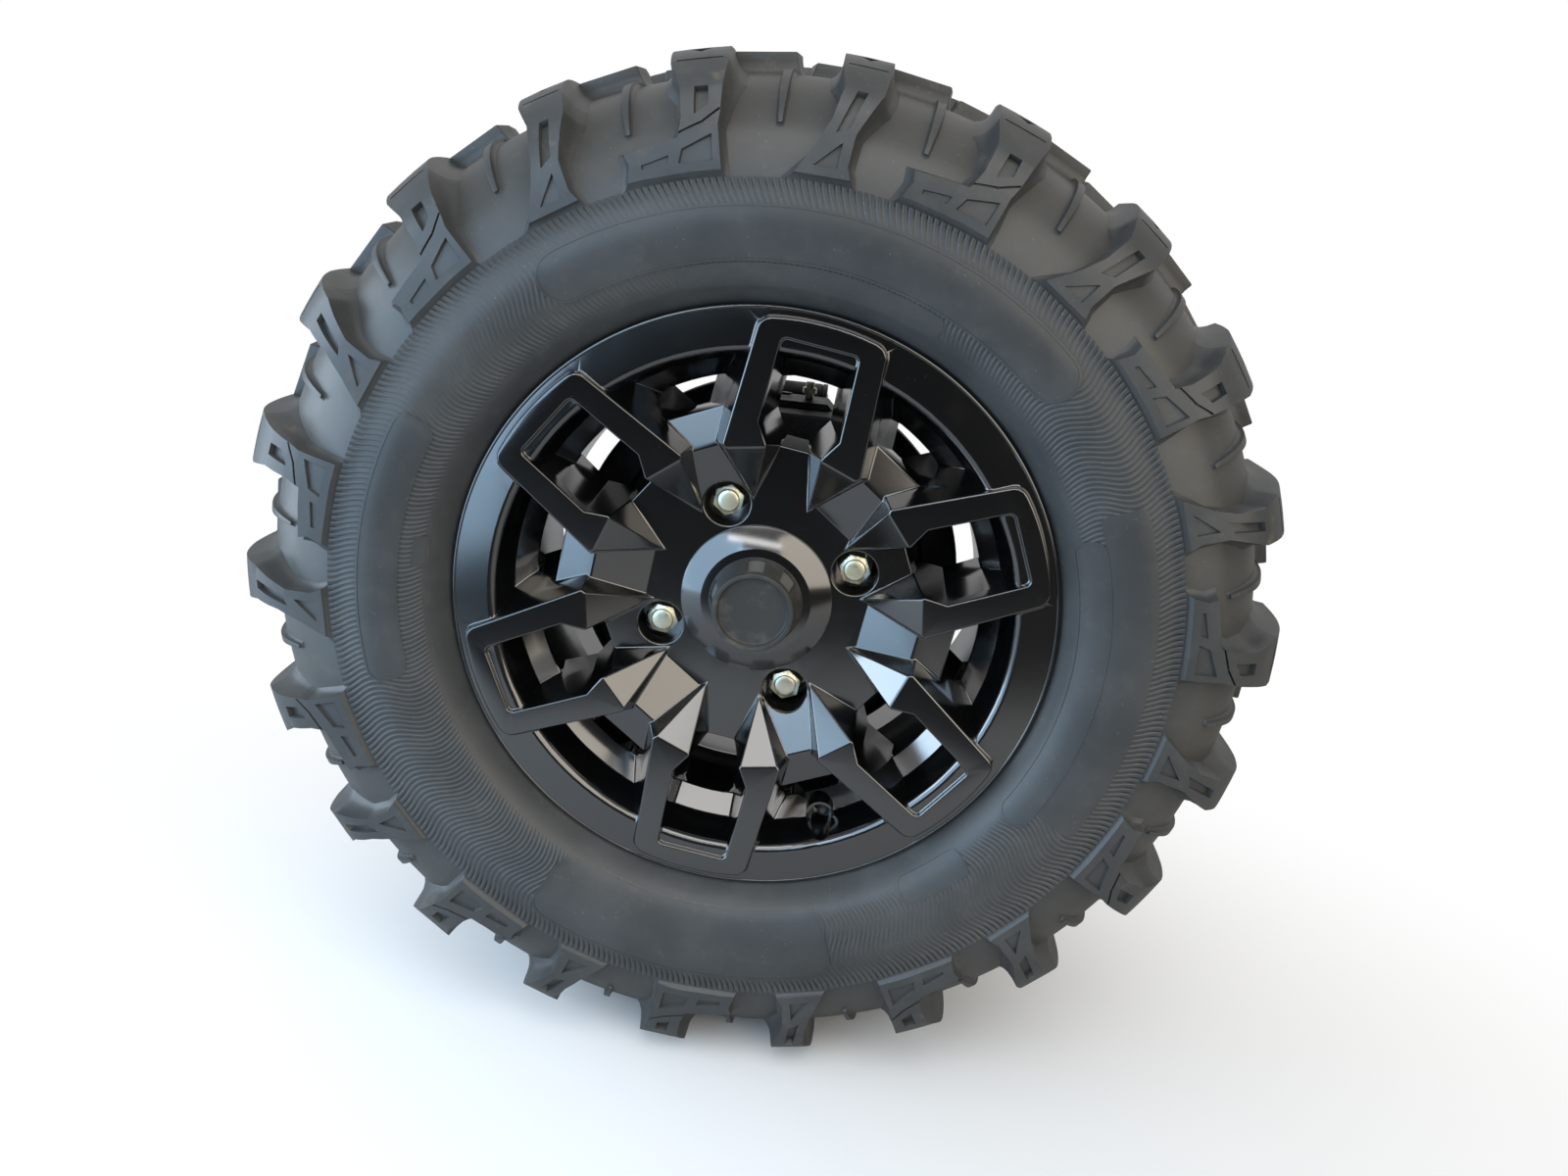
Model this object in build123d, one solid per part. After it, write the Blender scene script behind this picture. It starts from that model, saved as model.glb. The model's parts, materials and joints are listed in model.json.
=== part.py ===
from build123d import *
import math
import os

# Rear wheel end of a side-by-side utility vehicle, right-hand side: tyre, cast alloy wheel,
# hub with its brake disc and stub axle, and the knuckle that carries them.
# Everything is first modelled in the wheel's own frame: origin on the spin axis in the plane
# of the spoke loops' outer flats, +X towards the vehicle's front, +Y inboard, +Z up.
# Radii r are from the spin axis, depths y are inboard from that plane.

# Rim, a 14 by 8 inch drop-centre casting
BEAD_SEAT_R = 177.8
FLANGE_HEIGHT = 19.4
FLANGE_T = 5.0
FLANGE_ROUND = 1.8
LIP_Y = 4.0
LIP_WIDTH = 25.2
LIP_ROUND = 5.5
RIM_WIDTH = 203.2
RIM_WALL = 5.0
SEAT_CORNER = 3.0
BEAD_SEAT_LENGTH = 25.0
LEDGE_OUTER_DROP = 14.1
LEDGE_OUTER_Y = 33.2
LEDGE_INNER_DROP = 26.8
LEDGE_INNER_Y = 45.6
WELL_END_Y = 104.0
SLOPE_END_Y = 150.0
FLANGE_R = BEAD_SEAT_R + FLANGE_HEIGHT
LIP_INNER_R = FLANGE_R - LIP_WIDTH
LEDGE_OUTER_R = BEAD_SEAT_R - LEDGE_OUTER_DROP
LEDGE_INNER_R = BEAD_SEAT_R - LEDGE_INNER_DROP
FLANGE_IN_Y = LIP_Y + FLANGE_T
MID_Y = FLANGE_IN_Y + RIM_WIDTH / 2
RIM_END_Y = FLANGE_IN_Y + RIM_WIDTH + FLANGE_T

# Spoke loops: U-shaped frames, measured on the first one, which points up at LOOP_ANGLE.
# Points are (u, r): u is sideways from the loop's centre line and r outwards along it.
LOOPS = 6
LOOP_ANGLE = 81.7
LOOP_END_INSET = 6.7
LOOP_CORNER_DROP = 4.8
LOOP_CORNER_U = 39.3
LOOP_CORNER_ROUND = 9.0
LOOP_FLARE = 0.0334
LOOP_ROOT_R = 55.0
LOOP_SLOPE = 0.0864
LOOP_BAR = 12.8
HUB_FACE_Y = 39.6
ARM_BACK_Y = 64.0
OUTER_DRAFT = 18.0
WINDOW_DRAFT = 7.5
WINDOW_ROUND = 4.0
CREASE_OUTER = (42.1, 101.9)
CREASE_INNER = (17.7, 108.8)
TIP = (18.4, 67.9)
TAB_CORNER = (10.1, 104.1)
WINDOW_END_U = 24.3
WINDOW_WAIST = (26.6, 123.1)
WINDOW_INNER = (12.3, 100.2)
LOOP_END_R = FLANGE_R - LOOP_END_INSET
LOOP_CORNER_R = LOOP_END_R - LOOP_CORNER_DROP
WINDOW_END_R = LOOP_END_R - LOOP_BAR

# Webs between the loops: two facets, by (half width, r, y) on the line midway between loops
WEB_HUB = (12.2, 73.0, HUB_FACE_Y)
WEB_CREASE = (9.2, 109.7, 23.2)
WEB_END = (19.0, 132.5, 26.5)
WEB_SPREAD = 4.0
WEB_TOP_Y = 10.0

# Hub of the casting and its fastening
MOUNT_OFFSET = 76.2
MOUNT_Y = FLANGE_IN_Y + MOUNT_OFFSET
CENTRE_BORE_R = 44.0
NUTS = 4
NUT_CIRCLE_R = 68.5
NUT_ANGLE = 111.8
NUT_POCKET_R = 15.5
NUT_SEAT_Y = 68.0
HUB_MARGIN = 9.5
HUB_R = NUT_CIRCLE_R + HUB_MARGIN
STUD_R = 6.0
STUD_CLEARANCE = 1.0
STUD_HEAD_R = 9.0
STUD_HEAD_T = 4.5
STUD_GRIP = 14.0
NUT_HEIGHT = 22.0
NUT_HEX = 19.0
NUT_WASHER_R = 12.0
NUT_WASHER_T = 4.0
NUT_DOME_R = 8.0
NUT_DOME_T = 5.0

# Centre cap
CAP_OVERLAP = 7.4
CAP_EDGE_T = 2.0
CAP_CONE_R = 37.0
CAP_CONE_RISE = 8.1
CAP_NOSE_FOOT_R = 32.0
CAP_NOSE_R = 27.0
CAP_NOSE_RISE = 30.6
CAP_RIM_R = 24.5
CAP_RIM_ROUND = 1.2
CAP_RECESS_R = 23.0
CAP_RECESS_DEPTH = 3.6
CAP_WALL = 3.0
CAP_SKIRT_LENGTH = 18.0
CAP_FLANGE_R = CENTRE_BORE_R + CAP_OVERLAP
CAP_NOSE_Y = HUB_FACE_Y - CAP_NOSE_RISE

# Tyre, 27 inches across and 11 inches wide. It has flat facets, which keep it light.
TYRE_R = 343.0
TYRE_HALF_WIDTH = 134.0
TYRE_SIDES = 52
BEAD_GAP = 0.8
BEAD_LENGTH = 17.0
BEAD_LIP = 5.2
LUG_PITCHES = 11
LUG_ANGLE = 86.8
LUG_STEP = 15.3
LUG_STAGGER = 8.2
LUG_REACH = 39.0
NARROW_LUG_END = 14.0
WIDE_LUG_END = 40.0
SECTION_HEIGHT = TYRE_R - FLANGE_R

# Casing, outside and inside: (share of the section height above the flange, inset of the side)
CASING = [(0.17, 7.0), (0.335, 0.5), (0.505, 5.0), (0.664, 14.0), (0.794, 31.0), (0.873, 56.0),
          (0.911, 96.0)]
CAVITY = [(0.24, 16.0), (0.77, 48.0)]

# Lug outlines seen from the side: (sideways, share of the section height above the flange)
NARROW_LUG = [(-20.3, 0.486), (-3.4, 0.609), (5.3, 0.815), (2.0, 1.05), (35.0, 1.05),
              (26.5, 0.794), (19.5, 0.637), (21.7, 0.492)]
WIDE_LUG = [(-29.8, 0.479), (-25.6, 0.616), (6.0, 0.64), (10.0, 0.739), (5.0, 1.05),
            (39.0, 1.05), (33.0, 0.705), (30.3, 0.482)]

# Cross-section of a lug's side: (share of the section height, inset of the side), foot to crown
LUG_SIDE = [(0.444, 16.0), (0.503, 4.5), (0.534, 0.0), (0.705, 2.0), (0.856, 13.0), (0.959, 34.0)]
LUG_CROWN_INSET = 64.0
LUG_ROOT = [(0.85, 84.0), (0.795, 48.0), (0.64, 26.0)]

# Valve
VALVE_ANGLE = -68.1
VALVE_INSET = 2.2
VALVE_R = LEDGE_OUTER_R - VALVE_INSET
VALVE_BOSS_R = 10.0
VALVE_BOSS_RISE = 5.7
VALVE_BOSS_DEPTH = 6.0
VALVE_RECESS_DEPTH = 12.0
VALVE_RECESS_R = 8.2
VALVE_HOLE_R = 5.75
VALVE_HOLE_DEPTH = 10.0
VALVE_STEM_R = 4.3
VALVE_STEM_OUT = 8.0
VALVE_FOOT_T = 2.0
VALVE_ROOT = 10.0
VALVE_CAP_R = 4.8
VALVE_CAP_LENGTH = 9.0
VALVE_CAP_GRIP = 5.0
VALVE_SEAT_Y = LEDGE_OUTER_Y + VALVE_RECESS_DEPTH
VALVE_STEM_Y = VALVE_SEAT_Y - VALVE_STEM_OUT

# Rotating hub, disc and stub axle
PILOT_CLEARANCE = 0.2
PILOT_HEIGHT = 21.2
FLANGE_HUB_T = 12.0
NECK_R = 34.0
NECK_LENGTH = 6.8
CARRIER_R = 60.0
CARRIER_T = 6.0
DISC_T = 5.0
DISC_R = 106.0
DISC_INNER_R = 46.0
DISC_HOLES = 18
DISC_HOLE_R = 3.5
DISC_HOLE_ROWS = [(80.0, 0.0), (94.0, 10.0)]
DISC_BOLTS = 4
DISC_BOLT_CIRCLE_R = 53.0
DISC_BOLT_R = 4.0
SLEEVE_R = 20.0
AXLE_R = 14.0
AXLE_COLLAR_R = 24.0
AXLE_COLLAR_T = 12.0
AXLE_COLLAR_ROUND = 4.0
AXLE_SHAFT_R = 17.0
AXLE_FLARE = 9.0
DRIVE_FLANGE_R = 48.0
DRIVE_FLANGE_Y = 252.0
DRIVE_FLANGE_T = 11.0
DRIVE_DISH = 5.0
DRIVE_BOLTS = 6
DRIVE_CIRCLE_R = 38.0
DRIVE_HOLE_R = 4.25
PILOT_Y = MOUNT_Y - PILOT_HEIGHT
HUB_BACK_Y = MOUNT_Y + FLANGE_HUB_T
CARRIER_Y = HUB_BACK_Y + NECK_LENGTH
DISC_Y = CARRIER_Y + CARRIER_T
DISC_BACK_Y = DISC_Y + DISC_T

# Knuckle and bearing
BEARING_CLEARANCE = 0.05
BEARING_R = 38.0
BEARING_LENGTH = 40.0
BEARING_STANDOFF = 13.0
HOUSING_WALL = 12.0
HOUSING_LIP = 4.0
PIVOT_Y = 264.0
LOWER_PIVOT_Z = -95.0
UPPER_PIVOT_Z = 98.0
LOWER_BOSS_R = 19.0
LOWER_BOSS_LENGTH = 104.0
UPPER_BOSS_R = 17.0
UPPER_BOSS_LENGTH = 50.0
ARM_RIB_T = 9.0
ARM_ROOT_WIDTH = 56.0
ARM_ROOT_HEIGHT = 20.0
ARM_POCKET = 0.55
BUSH_T = 5.0
BUSH_RIM_T = 4.0
BUSH_RIM_R = 3.0
BUSH_GAP = 4.0
SLEEVE_WALL = 3.0
PIVOT_HOLE_R = 6.1
BEARING_Y = DISC_BACK_Y + BEARING_STANDOFF
HOUSING_R = BEARING_R + HOUSING_WALL
HOUSING_Y = BEARING_Y - HOUSING_LIP
HOUSING_LENGTH = BEARING_LENGTH + 2 * HOUSING_LIP
SLEEVE_END_Y = HOUSING_Y + HOUSING_LENGTH + HOUSING_LIP

# Brake
DISC_GAP = 0.4
PAD_T = 9.0
PAD_HALF_X = 30.0
PAD_DEPTH = 21.0
PAD_CLEARANCE = 2.0
SLOT_CLEARANCE = 5.0
CALIPER_HALF_X = 42.0
CALIPER_BRIDGE_T = 11.0
CALIPER_FINGER_T = 8.6
CALIPER_BODY_T = 27.6
CALIPER_CHAMFER = 10.0
CALIPER_STEP = 4.0
PISTON_R = 19.0
PISTON_BOSS_T = 7.0
EAR_X = 31.0
EAR_DROP = 11.0
EAR_T = 12.0
EAR_R = 10.0
EAR_FOOT_SHARE = 0.8
EAR_ROOT_Z = 28.0
CALIPER_BOLT_R = 5.0
CALIPER_BOLT_GRIP = 16.0
CALIPER_BOLT_HEAD_R = 7.5
CALIPER_BOLT_HEAD_T = 7.0
BLEED_X = 18.0
BLEED_R = 3.0
BLEED_HEX_R = 5.0
BLEED_LENGTH = 12.0
BLEED_HEX_T = 4.0

# Dust guard between the disc and the knuckle, cut away for the caliper
GUARD_CLEARANCE = 12.0
GUARD_R = LEDGE_INNER_R - GUARD_CLEARANCE
GUARD_T = 2.0
GUARD_RIM = 9.0
GUARD_BORE_R = 40.0
GUARD_DISH_R = 112.0
GUARD_DISH = 3.0
GUARD_GAP = 4.0
CALIPER_BOTTOM_Z = DISC_R - PAD_DEPTH
CALIPER_TOP_Z = DISC_R + SLOT_CLEARANCE + CALIPER_BRIDGE_T
PAD_TOP_Z = DISC_R - PAD_CLEARANCE
PAD_FRONT_Y = DISC_Y - DISC_GAP - PAD_T
PAD_BACK_Y = DISC_BACK_Y + DISC_GAP + PAD_T
CALIPER_FINGER_Y = PAD_FRONT_Y - CALIPER_FINGER_T
CALIPER_BACK_Y = PAD_BACK_Y + CALIPER_BODY_T
EAR_Z = CALIPER_BOTTOM_Z - EAR_DROP
GUARD_Y = HOUSING_Y - GUARD_T


def turned(points, rounds=()):
    """Ring or disc about the spin axis from (r, y) points; rounds are (point, radius) pairs."""
    section = make_face(Polyline(*points, close=True))
    for point, radius in rounds:
        section = fillet(section.vertices().sort_by_distance(point)[0], radius)
    return revolve(section, Axis.Y)


def at_angle(angle, piece):
    """Turn a piece modelled pointing along +Z to an angle from +X towards +Z."""
    return Rot(0, 90 - angle, 0) * piece


def slab(points, y0, y1, taper=0, rounds=()):
    """Plate from (u, r) points, between two depths; a taper narrows it inboard."""
    face = make_face(Polyline(*points, close=True))
    for point, radius in rounds:
        face = fillet(face.vertices().sort_by_distance(point)[0], radius)
    return Pos(0, y0, 0) * extrude(Plane.XZ * face, y1 - y0, dir=(0, 1, 0), taper=taper)


def rod(r, y0, y1, x=0, z=0):
    """Round bar along +Y between two depths."""
    return Pos(x, (y0 + y1) / 2, z) * Rot(90, 0, 0) * Cylinder(r, y1 - y0)


def cross_rod(r, length, y, z, x=0):
    """Round bar along X, centred on x."""
    return Pos(x, y, z) * Rot(0, 90, 0) * Cylinder(r, length)


def box_between(x0, x1, y0, y1, z0, z1):
    return Pos((x0 + x1) / 2, (y0 + y1) / 2, (z0 + z1) / 2) * Box(x1 - x0, y1 - y0, z1 - z0)


def pare(solid, a, b, c, keep):
    """Cut by the plane through three points and keep the side where the fourth one lies."""
    a, b, c, keep = (Vector(*p) for p in (a, b, c, keep))
    normal = (b - a).cross(c - a)
    if normal.dot(keep - a) < 0:
        normal = normal * -1
    return split(solid, bisect_by=Plane(a, z_dir=normal), keep=Keep.TOP)


def ur(point, y):
    """A (u, r) point of a loop or a web at a depth, as a point in space."""
    return (point[0], y, point[1])


def face_y(r):
    """Depth of the loops' sloping flat."""
    return LOOP_SLOPE * (LOOP_CORNER_R - r)


# Rim
def make_rim():
    seat_y = FLANGE_IN_Y + BEAD_SEAT_LENGTH
    back_in_y = FLANGE_IN_Y + RIM_WIDTH
    wall = RIM_WALL
    lip_corner = (LIP_INNER_R - LIP_ROUND / 2, LIP_Y)
    front_edge = (FLANGE_R, LIP_Y)
    profile = [
        lip_corner, front_edge, (FLANGE_R, FLANGE_IN_Y), (BEAD_SEAT_R + SEAT_CORNER, FLANGE_IN_Y),
        (BEAD_SEAT_R, FLANGE_IN_Y + SEAT_CORNER), (BEAD_SEAT_R, seat_y),
        (LEDGE_OUTER_R + wall, LEDGE_OUTER_Y + wall), (LEDGE_INNER_R + wall, LEDGE_INNER_Y + wall),
        (LEDGE_INNER_R + wall, WELL_END_Y), (BEAD_SEAT_R, SLOPE_END_Y),
        (BEAD_SEAT_R, back_in_y - SEAT_CORNER), (BEAD_SEAT_R + SEAT_CORNER, back_in_y),
        (FLANGE_R, back_in_y), (FLANGE_R, RIM_END_Y), (BEAD_SEAT_R + wall, RIM_END_Y),
        (BEAD_SEAT_R - wall, back_in_y - wall), (BEAD_SEAT_R - wall, SLOPE_END_Y + wall / 2),
        (LEDGE_INNER_R, WELL_END_Y + wall / 2), (LEDGE_INNER_R, LEDGE_INNER_Y),
        (LEDGE_OUTER_R, LEDGE_OUTER_Y),
    ]
    return turned(profile, [(lip_corner, LIP_ROUND), (front_edge, FLANGE_ROUND)])


# One spoke loop, pointing up: its right half, mirrored when the wheel is put together
def make_loop():
    corner = (LOOP_CORNER_U, LOOP_CORNER_R)
    root_u = LOOP_CORNER_U + LOOP_FLARE * (LOOP_CORNER_R - LOOP_ROOT_R)
    middle_u = LOOP_CORNER_U / 2
    middle_r = math.sqrt(LOOP_END_R ** 2 - middle_u ** 2)
    end = (0, LOOP_END_R)
    outline = Polyline(end, (0, LOOP_ROOT_R), (root_u, LOOP_ROOT_R), corner)
    face = make_face(outline + ThreePointArc(corner, (middle_u, middle_r), end))
    face = fillet(face.vertices().sort_by_distance(corner)[0], LOOP_CORNER_ROUND)
    block = extrude(Plane.XZ * face, ARM_BACK_Y, dir=(0, 1, 0), taper=-OUTER_DRAFT)
    block = split(block, bisect_by=Plane.YZ, keep=Keep.TOP)
    outer = ur(CREASE_OUTER, face_y(CREASE_OUTER[1]))
    inner = ur(CREASE_INNER, face_y(CREASE_INNER[1]))
    tip = ur(TIP, HUB_FACE_Y)
    web_crease = web_point(WEB_CREASE)
    deep = (0, ARM_BACK_Y, LOOP_END_R / 2)
    flat = [(0, face_y(LOOP_CORNER_R), LOOP_CORNER_R), (LOOP_CORNER_U, face_y(LOOP_CORNER_R), LOOP_CORNER_R),
            (0, face_y(LOOP_ROOT_R), LOOP_ROOT_R)]
    block = pare(block, flat[0], flat[1], flat[2], deep)
    block = pare(block, tip, inner, outer, deep)
    block = pare(block, tip, outer, web_crease, deep)
    pocket_end = CREASE_INNER[1] + RIM_WALL
    pocket = slab([(-1, LOOP_ROOT_R - 1), (root_u, LOOP_ROOT_R - 1), (root_u, pocket_end),
                   (-1, pocket_end)], -HUB_FACE_Y / 2, HUB_FACE_Y)
    pocket = pare(pocket, tip, inner, ur(TAB_CORNER, HUB_FACE_Y), (0, 0, LOOP_ROOT_R))
    window_end = (WINDOW_END_U, WINDOW_END_R)
    past = -LOOP_CORNER_U
    window = slab([(past, WINDOW_INNER[1]), WINDOW_INNER, WINDOW_WAIST, window_end,
                   (past, WINDOW_END_R)], -1, ARM_BACK_Y + 1, WINDOW_DRAFT, [(window_end, WINDOW_ROUND)])
    return block - pocket - window


def web_point(point):
    """A web's (u, r, y) point on its clockwise neighbour's side, in the loop's own place."""
    turn = math.radians(180 / LOOPS)
    u, r, y = point
    return (r * math.sin(turn) - u * math.cos(turn), y, r * math.cos(turn) + u * math.sin(turn))


# One web between two loops, pointing up
def make_web():
    right = [(point[0] + WEB_SPREAD, point[1]) for point in (WEB_END, WEB_CREASE, WEB_HUB)]
    right += [(right[-1][0], LOOP_ROOT_R)]
    left = [(-u, r) for u, r in reversed(right)]
    block = slab(right + left, WEB_TOP_Y, ARM_BACK_Y)
    deep = (0, ARM_BACK_Y, WEB_CREASE[1])
    hub, crease, end = [(0, point[2], point[1]) for point in (WEB_HUB, WEB_CREASE, WEB_END)]
    across = WEB_END[0]
    block = pare(block, hub, crease, (across, hub[1], hub[2]), deep)
    return pare(block, crease, end, (across, crease[1], crease[2]), deep)


def make_alloy_wheel():
    reach = LEDGE_INNER_R + RIM_WALL / 2
    lip_under = LIP_Y + FLANGE_T / 2
    envelope = turned([(0, -FLANGE_T), (FLANGE_R, -FLANGE_T), (FLANGE_R, lip_under),
                       (LIP_INNER_R, lip_under), (LEDGE_OUTER_R + RIM_WALL / 2, LEDGE_OUTER_Y),
                       (reach, LEDGE_INNER_Y), (reach, ARM_BACK_Y), (0, ARM_BACK_Y)])
    half = make_loop() & envelope
    loop = half + mirror(half, about=Plane.YZ)
    web = make_web()
    wheel = make_rim() + turned([(0, HUB_FACE_Y), (HUB_R, HUB_FACE_Y), (HUB_R, MOUNT_Y),
                                 (0, MOUNT_Y)])
    for i in range(LOOPS):
        angle = LOOP_ANGLE - i * 360 / LOOPS
        wheel += at_angle(angle, loop)
        wheel += at_angle(angle - 180 / LOOPS, web)
    boss = rod(VALVE_BOSS_R, LEDGE_OUTER_Y - VALVE_BOSS_RISE, VALVE_SEAT_Y + VALVE_BOSS_DEPTH, z=VALVE_R)
    wheel += at_angle(VALVE_ANGLE, boss)
    wheel -= rod(CENTRE_BORE_R, HUB_FACE_Y - 1, MOUNT_Y + 1)
    for i in range(NUTS):
        angle = NUT_ANGLE - i * 360 / NUTS
        wheel -= at_angle(angle, rod(NUT_POCKET_R, 0, NUT_SEAT_Y, z=NUT_CIRCLE_R))
        wheel -= at_angle(angle, rod(STUD_R + STUD_CLEARANCE, NUT_SEAT_Y - 1, MOUNT_Y + 1,
                                     z=NUT_CIRCLE_R))
    wheel -= at_angle(VALVE_ANGLE, rod(VALVE_RECESS_R, 0, VALVE_SEAT_Y, z=VALVE_R))
    return wheel - at_angle(VALVE_ANGLE, rod(VALVE_HOLE_R, VALVE_SEAT_Y - 1,
                                             VALVE_SEAT_Y + VALVE_HOLE_DEPTH, z=VALVE_R))


def section_r(share):
    """Radius at a share of the tyre's section height above the rim flange."""
    return FLANGE_R + share * SECTION_HEIGHT


def facet_ring(points, sides):
    """Ring about the spin axis from (r, y) points, in flat facets; r is at the corners."""
    def corner(point, k):
        turn = 2 * math.pi * k / sides
        return Vector(point[0] * math.sin(turn), point[1], point[0] * math.cos(turn))
    faces = []
    for a, b in zip(points, points[1:] + points[:1]):
        for k in range(sides):
            faces.append(Face(Wire.make_polygon([corner(a, k), corner(b, k), corner(b, k + 1),
                                                 corner(a, k + 1)])))
    return Solid(Shell(faces))


def make_casing():
    seat_r = BEAD_SEAT_R + BEAD_GAP
    edge_r = FLANGE_R + BEAD_GAP
    seat_w = RIM_WIDTH / 2 - BEAD_GAP / 2
    half = [(seat_r, seat_w - BEAD_LENGTH), (seat_r, seat_w - SEAT_CORNER),
            (seat_r + SEAT_CORNER, seat_w), (edge_r, seat_w), (edge_r, seat_w + BEAD_LIP)]
    half += [(section_r(share), TYRE_HALF_WIDTH - inset) for share, inset in CASING]
    inside = [(section_r(share), TYRE_HALF_WIDTH - inset) for share, inset in CAVITY]
    points = [(r, MID_Y - w) for r, w in half] + [(r, MID_Y + w) for r, w in reversed(half)]
    points += [(r, MID_Y + w) for r, w in inside] + [(r, MID_Y - w) for r, w in reversed(inside)]
    return facet_ring(points, TYRE_SIDES)


def make_lug(outline, end_w):
    """One outboard lug, pointing up, from its side outline; it ends end_w from the mid plane."""
    side = make_face(Polyline(*[(u, section_r(share)) for u, share in outline], close=True))
    block = Pos(0, MID_Y, 0) * extrude(Plane.XZ * side, 2 * TYRE_HALF_WIDTH, dir=(0, -1, 0))
    crown_z = math.sqrt(TYRE_R ** 2 - LUG_REACH ** 2)
    cross = [(TYRE_HALF_WIDTH - inset, section_r(share)) for share, inset in LUG_SIDE]
    cross += [(TYRE_HALF_WIDTH - LUG_CROWN_INSET, crown_z), (end_w, crown_z),
              (end_w, section_r(LUG_ROOT[0][0]))]
    cross += [(TYRE_HALF_WIDTH - inset, section_r(share)) for share, inset in LUG_ROOT]
    section = make_face(Polyline(*[(MID_Y - w, z) for w, z in cross], close=True))
    return block & extrude(Plane.YZ * section, 2 * LUG_REACH, both=True)


def make_tyre():
    lugs = []
    for outline, end_w, step in ((NARROW_LUG, NARROW_LUG_END, 0), (WIDE_LUG, WIDE_LUG_END, LUG_STEP)):
        outboard = make_lug(outline, end_w)
        inboard = mirror(outboard, about=Plane.XZ.offset(-MID_Y))
        for i in range(LUG_PITCHES):
            angle = LUG_ANGLE - step - i * 360 / LUG_PITCHES
            lugs.append(at_angle(angle, outboard))
            lugs.append(at_angle(angle - LUG_STAGGER, inboard))
    return Part() + make_casing() + lugs


def make_cap():
    wall = CAP_WALL
    skirt_r = CENTRE_BORE_R - PILOT_CLEARANCE
    skirt_end = HUB_FACE_Y + CAP_SKIRT_LENGTH
    cone_y = HUB_FACE_Y - CAP_CONE_RISE
    recess_y = CAP_NOSE_Y + CAP_RECESS_DEPTH
    rim = [(CAP_RIM_R, CAP_NOSE_Y), (CAP_NOSE_R, CAP_NOSE_Y)]
    outer = [(0, recess_y), (CAP_RECESS_R, recess_y)] + rim
    outer += [(CAP_NOSE_FOOT_R, cone_y), (CAP_CONE_R, cone_y),
              (CAP_FLANGE_R, HUB_FACE_Y - CAP_EDGE_T), (CAP_FLANGE_R, HUB_FACE_Y),
              (skirt_r, HUB_FACE_Y), (skirt_r, skirt_end)]
    inner = [(skirt_r - wall, skirt_end), (skirt_r - wall, HUB_FACE_Y),
             (CAP_NOSE_FOOT_R - wall, cone_y + wall), (CAP_RECESS_R, recess_y + wall),
             (0, recess_y + wall)]
    return turned(outer + inner, [(point, CAP_RIM_ROUND) for point in rim])


def make_nut():
    top_y = NUT_SEAT_Y - NUT_HEIGHT
    hexagon = Rot(90, 0, 0) * extrude(RegularPolygon(NUT_HEX / 2, 6, major_radius=False),
                                      (NUT_HEIGHT - NUT_DOME_T) / 2, both=True)
    nut = Pos(0, (top_y + NUT_DOME_T + NUT_SEAT_Y) / 2, 0) * hexagon
    nut += turned([(0, top_y), (NUT_DOME_R / 2, top_y), (NUT_DOME_R, top_y + NUT_DOME_T),
                   (0, top_y + NUT_DOME_T)])
    nut += rod(NUT_WASHER_R, NUT_SEAT_Y - NUT_WASHER_T, NUT_SEAT_Y)
    return nut - rod(STUD_R, NUT_SEAT_Y - STUD_GRIP, NUT_SEAT_Y + 1)


def make_stud():
    return rod(STUD_R, NUT_SEAT_Y - STUD_GRIP, HUB_BACK_Y) + rod(STUD_HEAD_R, HUB_BACK_Y,
                                                                HUB_BACK_Y + STUD_HEAD_T)


def make_hub():
    pilot_r = CENTRE_BORE_R - PILOT_CLEARANCE
    hub = turned([(AXLE_R, PILOT_Y), (pilot_r, PILOT_Y), (pilot_r, MOUNT_Y), (HUB_R, MOUNT_Y),
                  (HUB_R, HUB_BACK_Y), (NECK_R, HUB_BACK_Y), (NECK_R, CARRIER_Y),
                  (CARRIER_R, CARRIER_Y), (CARRIER_R, DISC_Y), (SLEEVE_R, DISC_Y),
                  (SLEEVE_R, SLEEVE_END_Y), (AXLE_R, SLEEVE_END_Y)])
    for i in range(NUTS):
        hub -= at_angle(NUT_ANGLE - i * 360 / NUTS, rod(STUD_R, MOUNT_Y - 1, HUB_BACK_Y + 1,
                                                        z=NUT_CIRCLE_R))
    return hub


def make_disc():
    disc = turned([(DISC_INNER_R, DISC_Y), (DISC_R, DISC_Y), (DISC_R, DISC_BACK_Y),
                   (DISC_INNER_R, DISC_BACK_Y)])
    for row_r, row_turn in DISC_HOLE_ROWS:
        for i in range(DISC_HOLES):
            disc -= at_angle(row_turn + i * 360 / DISC_HOLES,
                             rod(DISC_HOLE_R, DISC_Y - 1, DISC_BACK_Y + 1, z=row_r))
    return disc


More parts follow.
